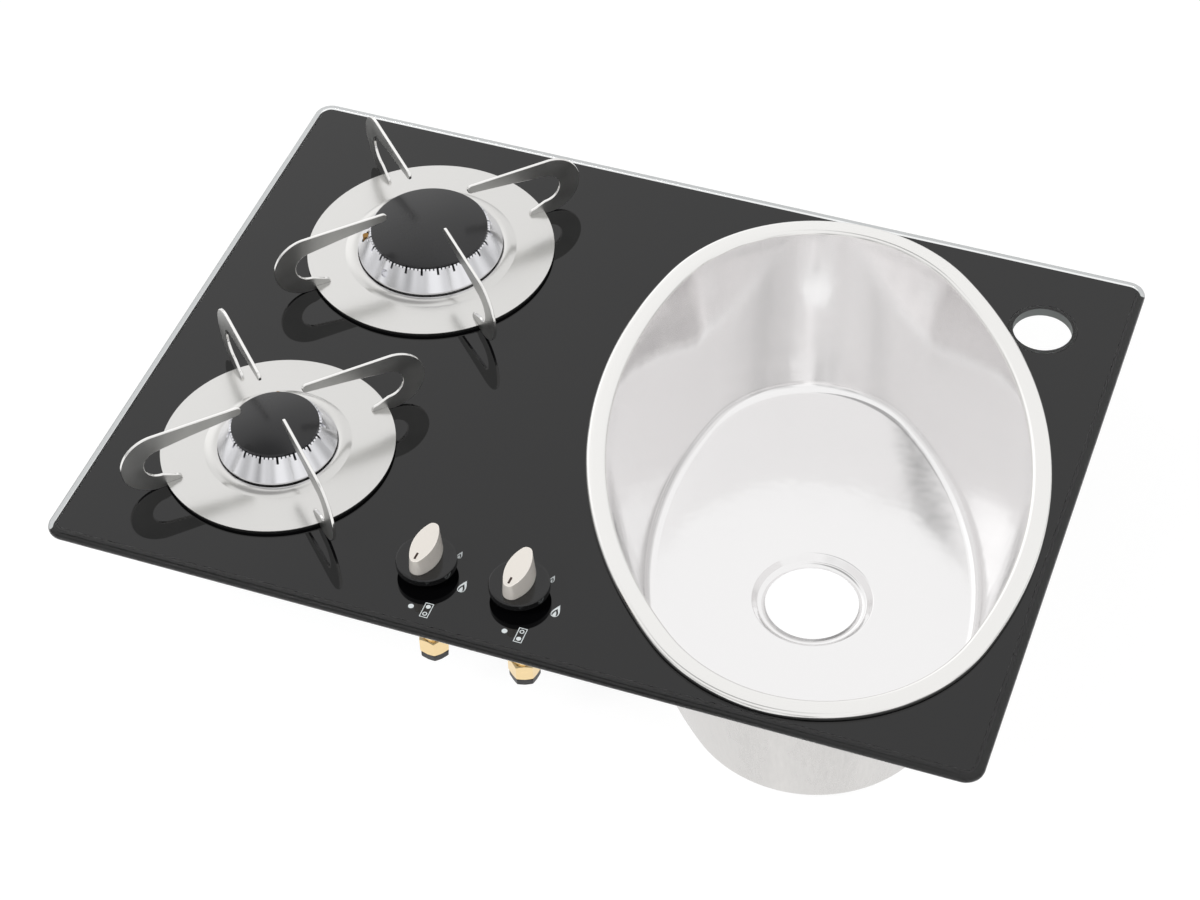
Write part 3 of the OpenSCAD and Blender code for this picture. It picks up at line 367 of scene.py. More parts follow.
# The slots of the nodes that have one finish all over
FINISH_OF_SLOT = dict(
    grey_seal=SILICONE, clip_steel=ZINC_PLATED, screw_steel=ZINC_PLATED, plate_steel=SATIN_SHEET,
    black_seal=EPDM_RUBBER, cast_alloy=CAST_ALLOY, crown_alloy=POLISHED_ALLOY, black_enamel=SATIN_ENAMEL,
    jet_brass=POLISHED_BRASS, couple_copper=DRAWN_COPPER, tray_steel=ZINC_SHEET, pipe_alloy=DRAWN_PIPE,
    tap_brass=POLISHED_BRASS, plug_brass=FORGED_BRASS, spring_steel=SPRING_WIRE, nut_brass=POLISHED_BRASS,
    cap_plastic=MOULDED_NYLON, black_rubber=EPDM_RUBBER, dial_plastic=GLOSS_ABS,
    grip_plastic=SATIN_CHAMPAGNE, pointer_plastic=POINTER_PAINT,
)


# Pieces

SLOT_OF_NODE = {name: cad.material_slots[0].material.name for name, cad in frame["nodes"].items()}
FLAT_DEG = 0.05


def add_object(name: str, data: bpy.types.ID) -> bpy.types.Object:
    """Puts an object in the scene.

    Args:
        name: its name.
        data: its mesh, lamp or camera.

    Returns:
        The object.
    """
    thing = bpy.data.objects.new(name, data)
    bpy.context.scene.collection.objects.link(thing)
    return thing


def mesh_of(name: str, shape: Shape) -> bpy.types.Mesh:
    """Turns a bmesh into a mesh and frees it.

    Args:
        name: the mesh's name.
        shape: the bmesh.

    Returns:
        The mesh.
    """
    mesh = bpy.data.meshes.new(name)
    shape.to_mesh(mesh)
    shape.free()
    return mesh


def make_piece(
    name: str,
    shape: Shape,
    node: str,
    finishes: Sequence[Finish] = (),
    sharp_deg: float = 32.0,
    weighted: bool = False,
    replaces: bool = True,
) -> bpy.types.Object:
    """Turns a bmesh into a finished piece that has a CAD node's body and material slot.

    Args:
        name: the piece's name.
        shape: its mesh in metres, in the frame's axes; it is freed here.
        node: the CAD node.
        finishes: its finishes, in the order of the faces' material numbers, or none for the slot's own.
        sharp_deg: edges that bend more than this stay sharp.
        weighted: True keeps flat faces flat beside narrow bevels.
        replaces: True if the piece replaces the node.

    Returns:
        The object.
    """
    body, slot = frame["nodes"][node]["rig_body"], SLOT_OF_NODE[node]
    mesh = mesh_of(name, shape)
    mesh.shade_smooth()
    mesh.set_sharp_from_angle(angle=math.radians(sharp_deg))
    piece = add_object(name, mesh)
    for finish in finishes or [FINISH_OF_SLOT[slot]]:
        mesh.materials.append(finish.make())
    if weighted:
        modifier = piece.modifiers.new("weighted", "WEIGHTED_NORMAL")
        modifier.keep_sharp = True
    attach(piece, body)
    if replaces:
        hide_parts(node)
    log.info("%s: %d faces on %s", name, len(mesh.polygons), body)
    return piece


def copy_of(node: str) -> Shape:
    """Copies a CAD node's mesh with its loose triangles merged and its flat faces made whole.

    Args:
        node: the CAD node.

    Returns:
        The merged mesh.
    """
    shape = bmesh.new()
    shape.from_mesh(frame["nodes"][node].data)
    bmesh.ops.remove_doubles(shape, verts=shape.verts, dist=MICRON)
    for face in shape.faces:
        face.material_index = 0
        face.smooth = True
    limit = math.radians(FLAT_DEG)
    bmesh.ops.dissolve_limit(shape, angle_limit=limit, verts=shape.verts, edges=shape.edges)
    return shape


def round_edges(shape: Shape, width_mm: float, crease_deg: float = 50.0, segments: int = 2) -> None:
    """Bevels the sharp edges of a closed shape.

    Args:
        shape: the shape.
        width_mm: the width of the bevel.
        crease_deg: edges that bend more than this are bevelled.
        segments: the number of faces across a bevel.
    """
    limit = math.radians(crease_deg)
    edges = [e for e in shape.edges if len(e.link_faces) == 2 and e.calc_face_angle(0.0) > limit]
    bmesh.ops.bevel(
        shape,
        geom=edges,
        offset=width_mm * MM,
        offset_type="OFFSET",
        segments=segments,
        profile=0.5,
        affect="EDGES",
        clamp_overlap=True,
        material=-1,
    )


def refine(node: str, bevel_mm: float = 0.0, segments: int = 2) -> bpy.types.Object:
    """Stands a smooth copy with rounded edges in for a CAD node.

    Args:
        node: the CAD node.
        bevel_mm: the width of the bevel, or 0 for none.
        segments: the number of faces across the bevel.

    Returns:
        The new piece.
    """
    shape = copy_of(node)
    if bevel_mm:
        round_edges(shape, bevel_mm, segments=segments)
    return make_piece(f"{node}_skin", shape, node, weighted=bevel_mm > 0)


def dress(*nodes: str) -> None:
    """Gives CAD nodes that stay the finish of their slot.

    Args:
        nodes: their names.
    """
    for node in nodes:
        finish = FINISH_OF_SLOT[SLOT_OF_NODE[node]]
        for place in frame["nodes"][node].material_slots:
            place.material = finish.make()
        log.info("%s: finished as %s", node, finish.name)


def draw_line(shape: Shape, points: Sequence[Triple], closed: bool = False) -> list[Edge]:
    """Draws a line of edges.

    Args:
        shape: the bmesh that gets it.
        points: its points in millimetres.
        closed: True joins the last point to the first.

    Returns:
        The edges, in order.
    """
    verts = [shape.verts.new([c * MM for c in point]) for point in points]
    ends = verts[1:] + verts[:1] if closed else verts[1:]
    return [shape.edges.new(pair) for pair in zip(verts, ends)]


def spin(shape: Shape, line: Sequence[Any], centre: Pair, angle: float, steps: int) -> list[Any]:
    """Spins a line round an upright axis.

    Args:
        shape: the bmesh that gets the faces.
        line: the line's vertices and edges.
        centre: the axis' x and y in millimetres.
        angle: how far the line turns. After a full turn its ends are merged.
        steps: the number of faces along the way.

    Returns:
        The vertices and edges at the far end.
    """
    made = bmesh.ops.spin(
        shape,
        geom=line,
        cent=Vector((*centre, 0)) * MM,
        axis=UP,
        angle=angle,
        steps=steps,
        use_merge=angle == FULL_TURN,
    )
    return made["geom_last"]


def thicken(shape: Shape, height_mm: float) -> None:
    """Raises a copy of flat faces by that height and closes the sides between.

    Args:
        shape: flat faces alone.
        height_mm: the height.
    """
    grown = bmesh.ops.extrude_face_region(shape, geom=list(shape.faces))
    moved = [v for v in grown["geom"] if isinstance(v, bmesh.types.BMVert)]
    bmesh.ops.translate(shape, verts=moved, vec=UP * height_mm * MM)
    bmesh.ops.recalc_face_normals(shape, faces=shape.faces)


def open_edges(shape: Shape, height_mm: float) -> list[Edge]:
    """Finds the open edges at a height."""
    edges = [e for e in shape.edges if e.is_boundary]
    return [e for e in edges if all(abs(v.co.z - height_mm * MM) < MICRON for v in e.verts)]


def arc(centre: Pair, radius: float, start_deg: float, end_deg: float, steps: int) -> list[Pair]:
    """Gives points on an arc, both ends among them.

    Args:
        centre: the arc's centre.
        radius: its radius.
        start_deg: the angle where it starts.
        end_deg: the angle where it ends.
        steps: the number of chords.

    Returns:
        The points as pairs.
    """
    angles = [math.radians(start_deg + (end_deg - start_deg) * k / steps) for k in range(steps + 1)]
    return [(centre[0] + radius * math.cos(t), centre[1] + radius * math.sin(t)) for t in angles]


def circle(centre: Pair, radius: float, steps: int) -> list[Pair]:
    """Gives points round a circle."""
    return arc(centre, radius, 0, 360, steps)[:-1]


# Glass panel


@dataclass
class GlassPanel:
    """The clear panel, the black ink under it and the marks on it.

    A flame is an outlined drop with a filled core. The shares are of its size or of the line's width.
    """

    thickness: float = 6.0
    ink: float = 0.1
    ink_overlap: float = 0.05
    mark_t: float = 0.03
    painted_grey_rim: float = 1.5
    clear_rim: float = 1.7
    rounded_from: float = 0.02
    tap_hole: Pair = (243.7, 153.5)
    tap_hole_reach: float = 21.0
    knobs: tuple[Pair, Pair] = ((-60.0, -170.0), (0.6, -170.0))
    dot: Pair = (1.5, -29.9)
    dot_r: float = 1.75
    dot_steps: int = 40
    sign: Pair = (11.7, -30.0)
    sign_size: Pair = (5.4, 11.4)
    sign_ring_r: float = 1.5
    ring_steps: int = 36
    ring_line_share: float = 1.2
    line_w: float = 0.5
    large_flame: Pair = (25.3, -5.2)
    large_size: Pair = (5.0, 9.9)
    small_flame: Pair = (14.3, 17.8)
    small_size: Pair = (3.2, 6.2)
    flame_lean: float = 0.9
    flame_steps: int = 48
    drop_width_share: float = 0.7
    drop_taper: float = 1.4
    inset_share: float = 2.2
    inner_top_share: float = 0.68
    core_width_share: float = 0.42
    core_low_share: float = 0.6
    core_top_share: float = 0.48
    core_lean_share: float = 0.2

    def make_panel(self) -> None:
        """Makes the clear glass. Its lower face ends inside the ink, so that no air lies between them."""
        shape = copy_of("glass_panel")
        for vert in shape.verts:
            vert.co.z = max(vert.co.z, self.ink_overlap * MM)
        finishes = [CLEAR_GLASS, GROUND_GLASS, INKED_GLASS, PAINTED_GREY_EDGE_GLASS]
        tap_hole = Vector(self.tap_hole) * MM
        # Tap-hole walls are ground glass; the upper half of the rounded edge takes the grey-tinted glass, a
        # painted shade
        for face in shape.faces:
            reach = (face.calc_center_median().to_2d() - tap_hole).length
            if reach < self.tap_hole_reach * MM and abs(face.normal.z) < UPRIGHT:
                face.material_index = finishes.index(GROUND_GLASS)
            elif self.rounded_from < face.normal.z < LEVEL:
                face.material_index = finishes.index(PAINTED_GREY_EDGE_GLASS)
        top = [face for face in shape.faces if face.normal.z > LEVEL]
        # The outer band takes the grey-tinted glass, a painted shade that outlines the edge; the next band
        # stays clear
        for width, finish in ((self.painted_grey_rim, PAINTED_GREY_EDGE_GLASS), (self.clear_rim, CLEAR_GLASS)):
            ring = bmesh.ops.inset_region(
                shape, faces=top, thickness=width * MM, use_boundary=True, use_even_offset=True
            )
            for face in ring["faces"]:
                face.material_index = finishes.index(finish)
        for face in top:
            face.material_index = finishes.index(INKED_GLASS)
        make_piece("glass_clear", shape, "glass_panel", finishes, sharp_deg=25)

    def make_ink(self) -> None:
        """Makes the coat of black ink on the flat part of the underside."""
        shape = copy_of("glass_panel")
        rest = [f for f in shape.faces if f.calc_center_median().z > MICRON or f.normal.z > -LEVEL]
        bmesh.ops.delete(shape, geom=rest, context="FACES")
        thicken(shape, self.ink)
        make_piece("glass_back_ink", shape, "glass_panel", [BACK_ENAMEL], sharp_deg=25, replaces=False)

    def raise_mark(self, shape: Shape, name: str, at: Pair) -> None:
        """Gives flat faces the ink's thickness and lays them on the glass.

        Args:
            shape: flat faces round the origin, in metres.
            name: the piece's name.
            at: where the mark lies, in millimetres.
        """
        bmesh.ops.recalc_face_normals(shape, faces=shape.faces)
        thicken(shape, 2 * self.mark_t)
        place = Vector((*at, self.thickness - self.mark_t)) * MM
        bmesh.ops.translate(shape, verts=shape.verts, vec=place)
        make_piece(name, shape, "glass_panel", [WHITE_INK], replaces=False)

    def fill(self, shape: Shape, *lines: Sequence[Pair]) -> None:
        """Fills one closed line, or the band between two.

        Args:
            shape: the bmesh that gets the faces.
            lines: the outer line and, for a band, the inner one.
        """
        edges = [draw_line(shape, [(x, y, 0) for x, y in line], closed=True) for line in lines]
        if len(edges) == 1:
            bmesh.ops.contextual_create(shape, geom=edges[0])
        else:
            bmesh.ops.bridge_loops(shape, edges=edges[0] + edges[1])

    def oblong(self, size: Pair) -> list[Pair]:
        """Gives a rectangle's corners round the origin."""
        half_w, half_h = size[0] / 2, size[1] / 2
        return [(-half_w, -half_h), (half_w, -half_h), (half_w, half_h), (-half_w, half_h)]

    def drop(self, size: Pair, low: float, high: float, lean: float) -> list[Pair]:
        """Works out a flame's outline: round below and drawn out to a leaning tip.

        Args:
            size: the width of the drop and the height of the whole flame.
            low: where the drop starts, as a share of the flame's height.
            high: where it ends, as such a share.
            lean: how far the flame's tip leans to the right.

        Returns:
            Pairs of x and y round the flame's middle.
        """
        points = []
        for k in range(self.flame_steps):
            turn = FULL_TURN * k / self.flame_steps
            share = low + (high - low) * (1 + math.cos(turn)) / 2
            bulge = math.sin(turn) * math.sin(turn / 2) ** self.drop_taper
            across = self.drop_width_share * size[0] * bulge
            points.append((across + lean * share * share, (share - 0.5) * size[1]))
        return points

    def burner_sign(self, name: str, at: Pair, filled_upper: bool) -> None:
        """Makes the small sign that says which burner a knob works.

        Args:
            name: the piece's name.
            at: the sign's middle in millimetres.
            filled_upper: True if the upper ring is the filled one.
        """
        shape = bmesh.new()
        width, height = self.sign_size
        inner = (width - 2 * self.line_w, height - 2 * self.line_w)
        self.fill(shape, self.oblong(self.sign_size), self.oblong(inner))
        hole_r = self.sign_ring_r - self.ring_line_share * self.line_w
        for up, filled in ((1, filled_upper), (-1, not filled_upper)):
            middle = (0.0, up * height / 4)
            radii = [self.sign_ring_r] if filled else [self.sign_ring_r, hole_r]
            self.fill(shape, *(circle(middle, radius, self.ring_steps) for radius in radii))
        self.raise_mark(shape, name, at)

    def flame(self, name: str, at: Pair, size: Pair) -> None:
        """Makes a flame: an outlined drop with a small filled one in it.

        Args:
            name: the piece's name.
            at: the flame's middle in millimetres.
            size: its width and height in millimetres.
        """
        shape = bmesh.new()
        width, height = size
        growth = height / self.large_size[1]
        lean = self.flame_lean * growth
        line = self.line_w * (1 + growth) / 2
        inner = (width - self.inset_share * line, height)
        inside = self.drop(inner, line / height, self.inner_top_share, lean)
        self.fill(shape, self.drop(size, 0, 1, lean), inside)
        core = (self.core_width_share * width, height)
        core_low = self.core_low_share * line / height
        self.fill(shape, self.drop(core, core_low, self.core_top_share, self.core_lean_share * lean))
        self.raise_mark(shape, name, at)

    def make_marks(self) -> None:
        """Makes the marks of both knobs."""
        places = (self.dot, self.sign, self.large_flame, self.small_flame)
        for side, knob in zip(Side, self.knobs):
            name = f"{side.value}_mark"
            dot, sign, large, small = ((knob[0] + x, knob[1] + y) for x, y in places)
            disc = bmesh.new()
            self.fill(disc, circle((0.0, 0.0), self.dot_r, self.dot_steps))
            self.raise_mark(disc, f"{name}_off", dot)
            self.burner_sign(f"{name}_burner", sign, side is Side.LEFT)
            self.flame(f"{name}_large_flame", large, self.large_size)
            self.flame(f"{name}_small_flame", small, self.small_size)

    def build(self) -> None:
        """Makes all of the panel's pieces."""
        self.make_panel()
        self.make_ink()
        self.make_marks()


# Sink


@dataclass
class Sink:
    """The pressed bowl with its flange, its seal and its clips.

    The outline is four arcs. Their centres lie end_parts and side_parts from the middle, along and across, in
    parts of arc_part millimetres. The mouth is a bend: its centre's outward distance and height, and radius.
    """

    centre: Pair = (136.8, 0.1)
    turn_deg: float = 107.2
    half_length: float = 214.0
    arc_part: float = 0.284
    end_parts: float = 336.0
    side_parts: float = 527.0
    flange_z: float = 10.5
    flange_flat: Pair = (-5.0, -8.5)
    lip_low: float = 6.4
    lip_r: float = 2.5
    mouth: Triple = (-10.0, 7.5, 3.0)
    draft: float = 10.7
    floor_z: float = -116.5
    fillet_r: float = 8.0
    sheet: float = 1.0
    margin: float = 0.5
    drain: Pair = (-16.5, 0.0)
    drain_r: float = 31.0
    recess_top_r: float = 40.0
    recess_low_r: float = 36.0
    recess_depth: float = 4.0
    recess_edge_r: float = 1.6
    floor_ring: float = 9.0
    end_steps: int = 72
    side_steps: int = 56
    lip_steps: int = 8
    mouth_steps: int = 10
    wall_steps: int = 12
    fillet_steps: int = 18
    recess_steps: int = 5
    arc_weld: float = 0.02
    floor_weld: float = 0.005

    def section(self) -> list[Pair]:
        """Works out the sheet's seen face, from the lip's lower edge over the flange and down to the floor.

        Returns:
            Pairs of distance outward from the flange's outline and height.
        """
        lean = math.radians(self.draft)
        out, high, bend = self.mouth
        normal = (-math.cos(lean), math.sin(lean))
        fillet_h = self.floor_z + self.fillet_r
        reach = out * normal[0] + high * normal[1] + bend + self.fillet_r
        fillet_x = (normal[1] * fillet_h - reach) / -normal[0]
        lip = arc((-self.lip_r, self.flange_z - self.lip_r), self.lip_r, 0, 90, self.lip_steps)
        flange = [(x, self.flange_z) for x in self.flange_flat]
        mouth = arc((out, high), bend, 90, 180 - self.draft, self.mouth_steps)
        fillet = arc((fillet_x, fillet_h), self.fillet_r, -self.draft, -90, self.fillet_steps)
        (top_x, top_z), (low_x, low_z) = mouth[-1], fillet[0]
        shares = [k / self.wall_steps for k in range(1, self.wall_steps)]
        wall = [(top_x + (low_x - top_x) * share, top_z + (low_z - top_z) * share) for share in shares]
        return [(0, self.lip_low)] + lip + flange + mouth + wall + fillet

    def sweep(self, shape: Shape) -> list[Edge]:
        """Spins the section round the outline's four arcs, which share their tangents.

        Args:
            shape: the bmesh that gets the sheet.

        Returns:
            The loop of edges where the sheet meets the floor.
        """
        end_c = self.end_parts * self.arc_part
        side_c = self.side_parts * self.arc_part
        end_r = self.half_length - end_c
        half_end = math.atan2(self.side_parts, self.end_parts)
        edges = draw_line(shape, [(end_r + x, 0, z) for x, z in self.section()])
        start = Matrix.Rotation(-half_end, 3, "Z")
        bmesh.ops.rotate(shape, verts=shape.verts, cent=(0, 0, 0), matrix=start)
        bmesh.ops.translate(shape, verts=shape.verts, vec=Vector((end_c, 0, 0)) * MM)
        line: list[Any] = list(shape.verts) + edges
        end_turn = 2 * half_end
        for way in (1, -1):
            line = spin(shape, line, (way * end_c, 0), end_turn, self.end_steps)
            line = spin(shape, line, (0, -way * side_c), HALF_TURN - end_turn, self.side_steps)
        bmesh.ops.remove_doubles(shape, verts=shape.verts, dist=self.arc_weld * MM)
        return open_edges(shape, self.floor_z)

    def recess(self, shape: Shape, count: int) -> list[Edge]:
        """Spins the drain's recess and its hole.

        Args:
            shape: the bmesh that gets the recess.
            count: the number of steps round it.

        Returns:
            The loop of edges where the recess meets the floor.
        """
        low = self.floor_z - self.recess_depth
        slope = math.degrees(math.atan2(self.recess_depth, self.recess_top_r - self.recess_low_r))
        bend = self.recess_edge_r
        run = bend * math.tan(math.radians(slope / 2))
        upper_at = (self.recess_top_r + run, self.floor_z - bend)
        upper = arc(upper_at, bend, 90, 90 + slope, self.recess_steps)
        lower = arc((self.recess_low_r - run, low + bend), bend, slope - 90, -90, self.recess_steps)
        points = [(self.recess_top_r + self.floor_ring, self.floor_z)] + upper + lower + [(self.drain_r, low)]
        before = set(shape.verts)
        edges = draw_line(shape, [(x, 0, z) for x, z in points])
        fresh = [v for v in shape.verts if v not in before]
        spin(shape, fresh + edges, (0, 0), FULL_TURN, count)
        loop = [e for e in open_edges(shape, self.floor_z) if e.verts[0] not in before]
        made = [v for v in shape.verts if v not in before]
        bmesh.ops.translate(shape, verts=made, vec=Vector((*self.drain, 0)) * MM)
        return loop

    def is_drawn(self, face: bmesh.types.BMFace) -> bool:
        """Tells the drawn wall and floor from the flange and its outer lip, which keep the satin face.

        Args:
            face: a face of the bowl, in place.

        Returns:
            True for a drawn face.
        """
        middle = face.calc_center_median()
        outward = face.normal.dot(middle - Vector((*self.centre, 0)) * MM) > 0
        if outward and middle.z > self.lip_low * MM:
            return False
        on_wall = middle.z < (self.mouth[1] + self.margin) * MM and face.normal.z < LEVEL
        return on_wall or middle.z < (self.floor_z + self.margin) * MM

    def make_bowl(self) -> None:
        """Makes the bowl as one sheet of steel."""
        shape = bmesh.new()
        floor_loop = self.sweep(shape)
        rim = self.recess(shape, len(floor_loop))
        bmesh.ops.bridge_loops(shape, edges=floor_loop + rim)
        bmesh.ops.remove_doubles(shape, verts=shape.verts, dist=self.floor_weld * MM)
        bmesh.ops.recalc_face_normals(shape, faces=shape.faces)
        lowest = min(shape.faces, key=lambda f: f.calc_center_median().z)
        if lowest.normal.z < 0:
            bmesh.ops.reverse_faces(shape, faces=shape.faces)
        place = Matrix.Translation(Vector((*self.centre, 0)) * MM)
        turn = Matrix.Rotation(math.radians(self.turn_deg), 4, "Z")
        bmesh.ops.transform(shape, matrix=place @ turn, verts=shape.verts)
        # Each seen finish has the one of its hidden side next to it; the outside's darker steel is painted
        # shade
        finishes = [PRESSED_FLANGE, DIE_LINES_AND_SHADE, DRAWN_BOWL, DIE_LINES_AND_SHADE]
        for face in shape.faces:
            face.material_index = finishes.index(DRAWN_BOWL if self.is_drawn(face) else PRESSED_FLANGE)
        bowl = make_piece("sink_sheet", shape, "sink_bowl", finishes, sharp_deg=60)
        wall = bowl.modifiers.new("sheet", "SOLIDIFY")
        wall.thickness = self.sheet * MM
        wall.offset = -1
        wall.use_even_offset = True
        wall.material_offset = 1
        wall.material_offset_rim = 0

    def build(self) -> None:
        """Makes the bowl and finishes what holds it."""
        self.make_bowl()
        dress("sink_seal", "sink_clips", "sink_clip_screws")


# Burners


@dataclass
class Burner:
    """One burner: its plate, pan supports, crown, cap and what is under them."""

    row: Row
    supports: int = 4
    first_support_deg: float = 45.0
    blade_bevel: float = 0.45
    blade_side: float = 0.97
    cap_bevel: float = 0.4

    def node(self, name: str) -> str:
        """Gives the full name of one of this burner's nodes."""
        return f"{self.row.value}_{name}"

    def make_support(self, number: int) -> None:
        """Makes one bent blade, with tumbled sides and edges in a paler steel that is a painted highlight.

        Args:
            number: which of them, from 1.
        """
        node = self.node(f"support_{number}")
        shape = copy_of(node)
        round_edges(shape, self.blade_bevel, segments=3)
        turn = math.radians(self.first_support_deg + 360 * (number - 1) / self.supports)
        across = Vector((-math.sin(turn), math.cos(turn), 0))
        # The edge faces take the paler steel, a painted highlight; the sides take the tumbled steel
        finishes = [PAINTED_HIGHLIGHT_EDGE, TUMBLED_STEEL]
        for face in shape.faces:
            on_side = abs(face.normal.dot(across)) > self.blade_side
            face.material_index = finishes.index(TUMBLED_STEEL if on_side else PAINTED_HIGHLIGHT_EDGE)
        make_piece(f"{node}_blade", shape, node, finishes, sharp_deg=45, weighted=True)

    def build(self) -> None:
        """Makes the burner's pieces."""
        dress(self.node("plate"), self.node("crown"))
        for number in range(1, self.supports + 1):
            self.make_support(number)
        refine(self.node("cap"), self.cap_bevel, segments=3)
        dress(*(self.node(name) for name in ("plate_seal", "cup", "jet", "thermocouple", "gas_pipe")))


# Taps and knobs


@dataclass
class GasTap:
    """One gas tap under the glass, with the union nut and the cap that closes it for transport."""

    side: Side
    centre: Pair
    turn_deg: float
    press: float = 3.0
    nut_top: float = -53.0
    nut_h: float = 12.5
    nut_af: float = 18.0
    cap_af: float = 17.0
    cap_h: float = 5.5
    sides: int = 6
    edge_bevel: float = 0.2
    chamfer_deg: float = 30.0
    chamfer_span_deg: float = 34.0
    chamfer_cuts: int = 5
    face_share: float = 0.94

    def hexagon(self, across: float, low: float, high: float) -> Shape:
        """Makes a hexagon bar with the turned chamfers of a nut at both ends.

        Args:
            across: the distance across the flats in millimetres.
            low: the height of its lower face.
            high: the height of its upper face.

        Returns:
            The bar, in place.
        """
        shape = bmesh.new()
        corner = across / 2 / math.cos(HALF_TURN / self.sides) * MM
        made = bmesh.ops.create_circle(shape, cap_ends=True, segments=self.sides, radius=corner)
        thicken(shape, high - low)
        first = math.atan2(made["verts"][0].co.y, made["verts"][0].co.x)
        lean = math.radians(self.chamfer_deg)
        for end, top in ((1, (high - low) * MM), (-1, 0.0)):
            for cut in range(self.sides * self.chamfer_cuts):
                corner_number, step = divmod(cut, self.chamfer_cuts)
                share = step / (self.chamfer_cuts - 1) - 0.5
                corner_deg = 360 / self.sides * corner_number
                turn = first + math.radians(corner_deg + self.chamfer_span_deg * share)
                out = Vector((math.cos(turn), math.sin(turn), 0))
                done = bmesh.ops.bisect_plane(
                    shape,
                    geom=list(shape.verts) + list(shape.edges) + list(shape.faces),
                    plane_co=out * (across / 2 * self.face_share) * MM + UP * top,
                    plane_no=out * math.sin(lean) + UP * end * math.cos(lean),
                    clear_outer=True,
                )
                fresh = [g for g in done["geom_cut"] if isinstance(g, Edge) and g.is_boundary]
                if fresh:
                    bmesh.ops.contextual_create(shape, geom=fresh)
        turn_z = Matrix.Rotation(math.radians(self.turn_deg), 4, "Z")
        place = Matrix.Translation(Vector((*self.centre, low)) * MM)
        bmesh.ops.transform(shape, matrix=place @ turn_z, verts=shape.verts)
        bmesh.ops.recalc_face_normals(shape, faces=shape.faces)
        round_edges(shape, self.edge_bevel, crease_deg=40)
        return shape

    def make_spring(self, name: str) -> None:
        """Makes the coil spring in the tap as a smooth copy with a mesh of its own.

        Args:
            name: the side, as it is in the node's name.
        """
        spring = refine(f"{name}_spring")
        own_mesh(spring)

    def build(self) -> None:
        """Makes the nut, its cap and the spring and finishes the tap."""
        name = self.side.value
        low = self.nut_top - self.nut_h
        nut = self.hexagon(self.nut_af, low, self.nut_top)
        make_piece(f"{name}_nut_hexagon", nut, f"{name}_union_nut", weighted=True)
        cap = self.hexagon(self.cap_af, low - self.cap_h, low)
        make_piece(f"{name}_cap_hexagon", cap, f"{name}_end_cap", weighted=True)
        dress(*(f"{name}_{node}" for node in ("tap_body", "tap_plug", "bonnet", "safety_valve")))
        self.make_spring(name)


@dataclass
class Knob:
    """One knob: the grip with its pointer on the dial, the spindle and the grommet in the glass."""

    side: Side
    dial_bevel: float = 0.25
    grip_bevel: float = 0.6

    def build(self) -> None:
        """Makes the knob's pieces."""
        name = self.side.value
        refine(f"{name}_dial", self.dial_bevel)
        refine(f"{name}_grip", self.grip_bevel, segments=4)
        dress(*(f"{name}_{node}" for node in ("grommet", "spindle", "pointer")))


# Tray


@dataclass
class Underside:
    """The tray under the hob and the screws."""

    nodes: tuple[str, ...] = ("under_tray", "burner_screws", "tray_screws", "tap_screws")

    def build(self) -> None:
        """Finishes the tray and the screws."""
        dress(*self.nodes)


# Studio


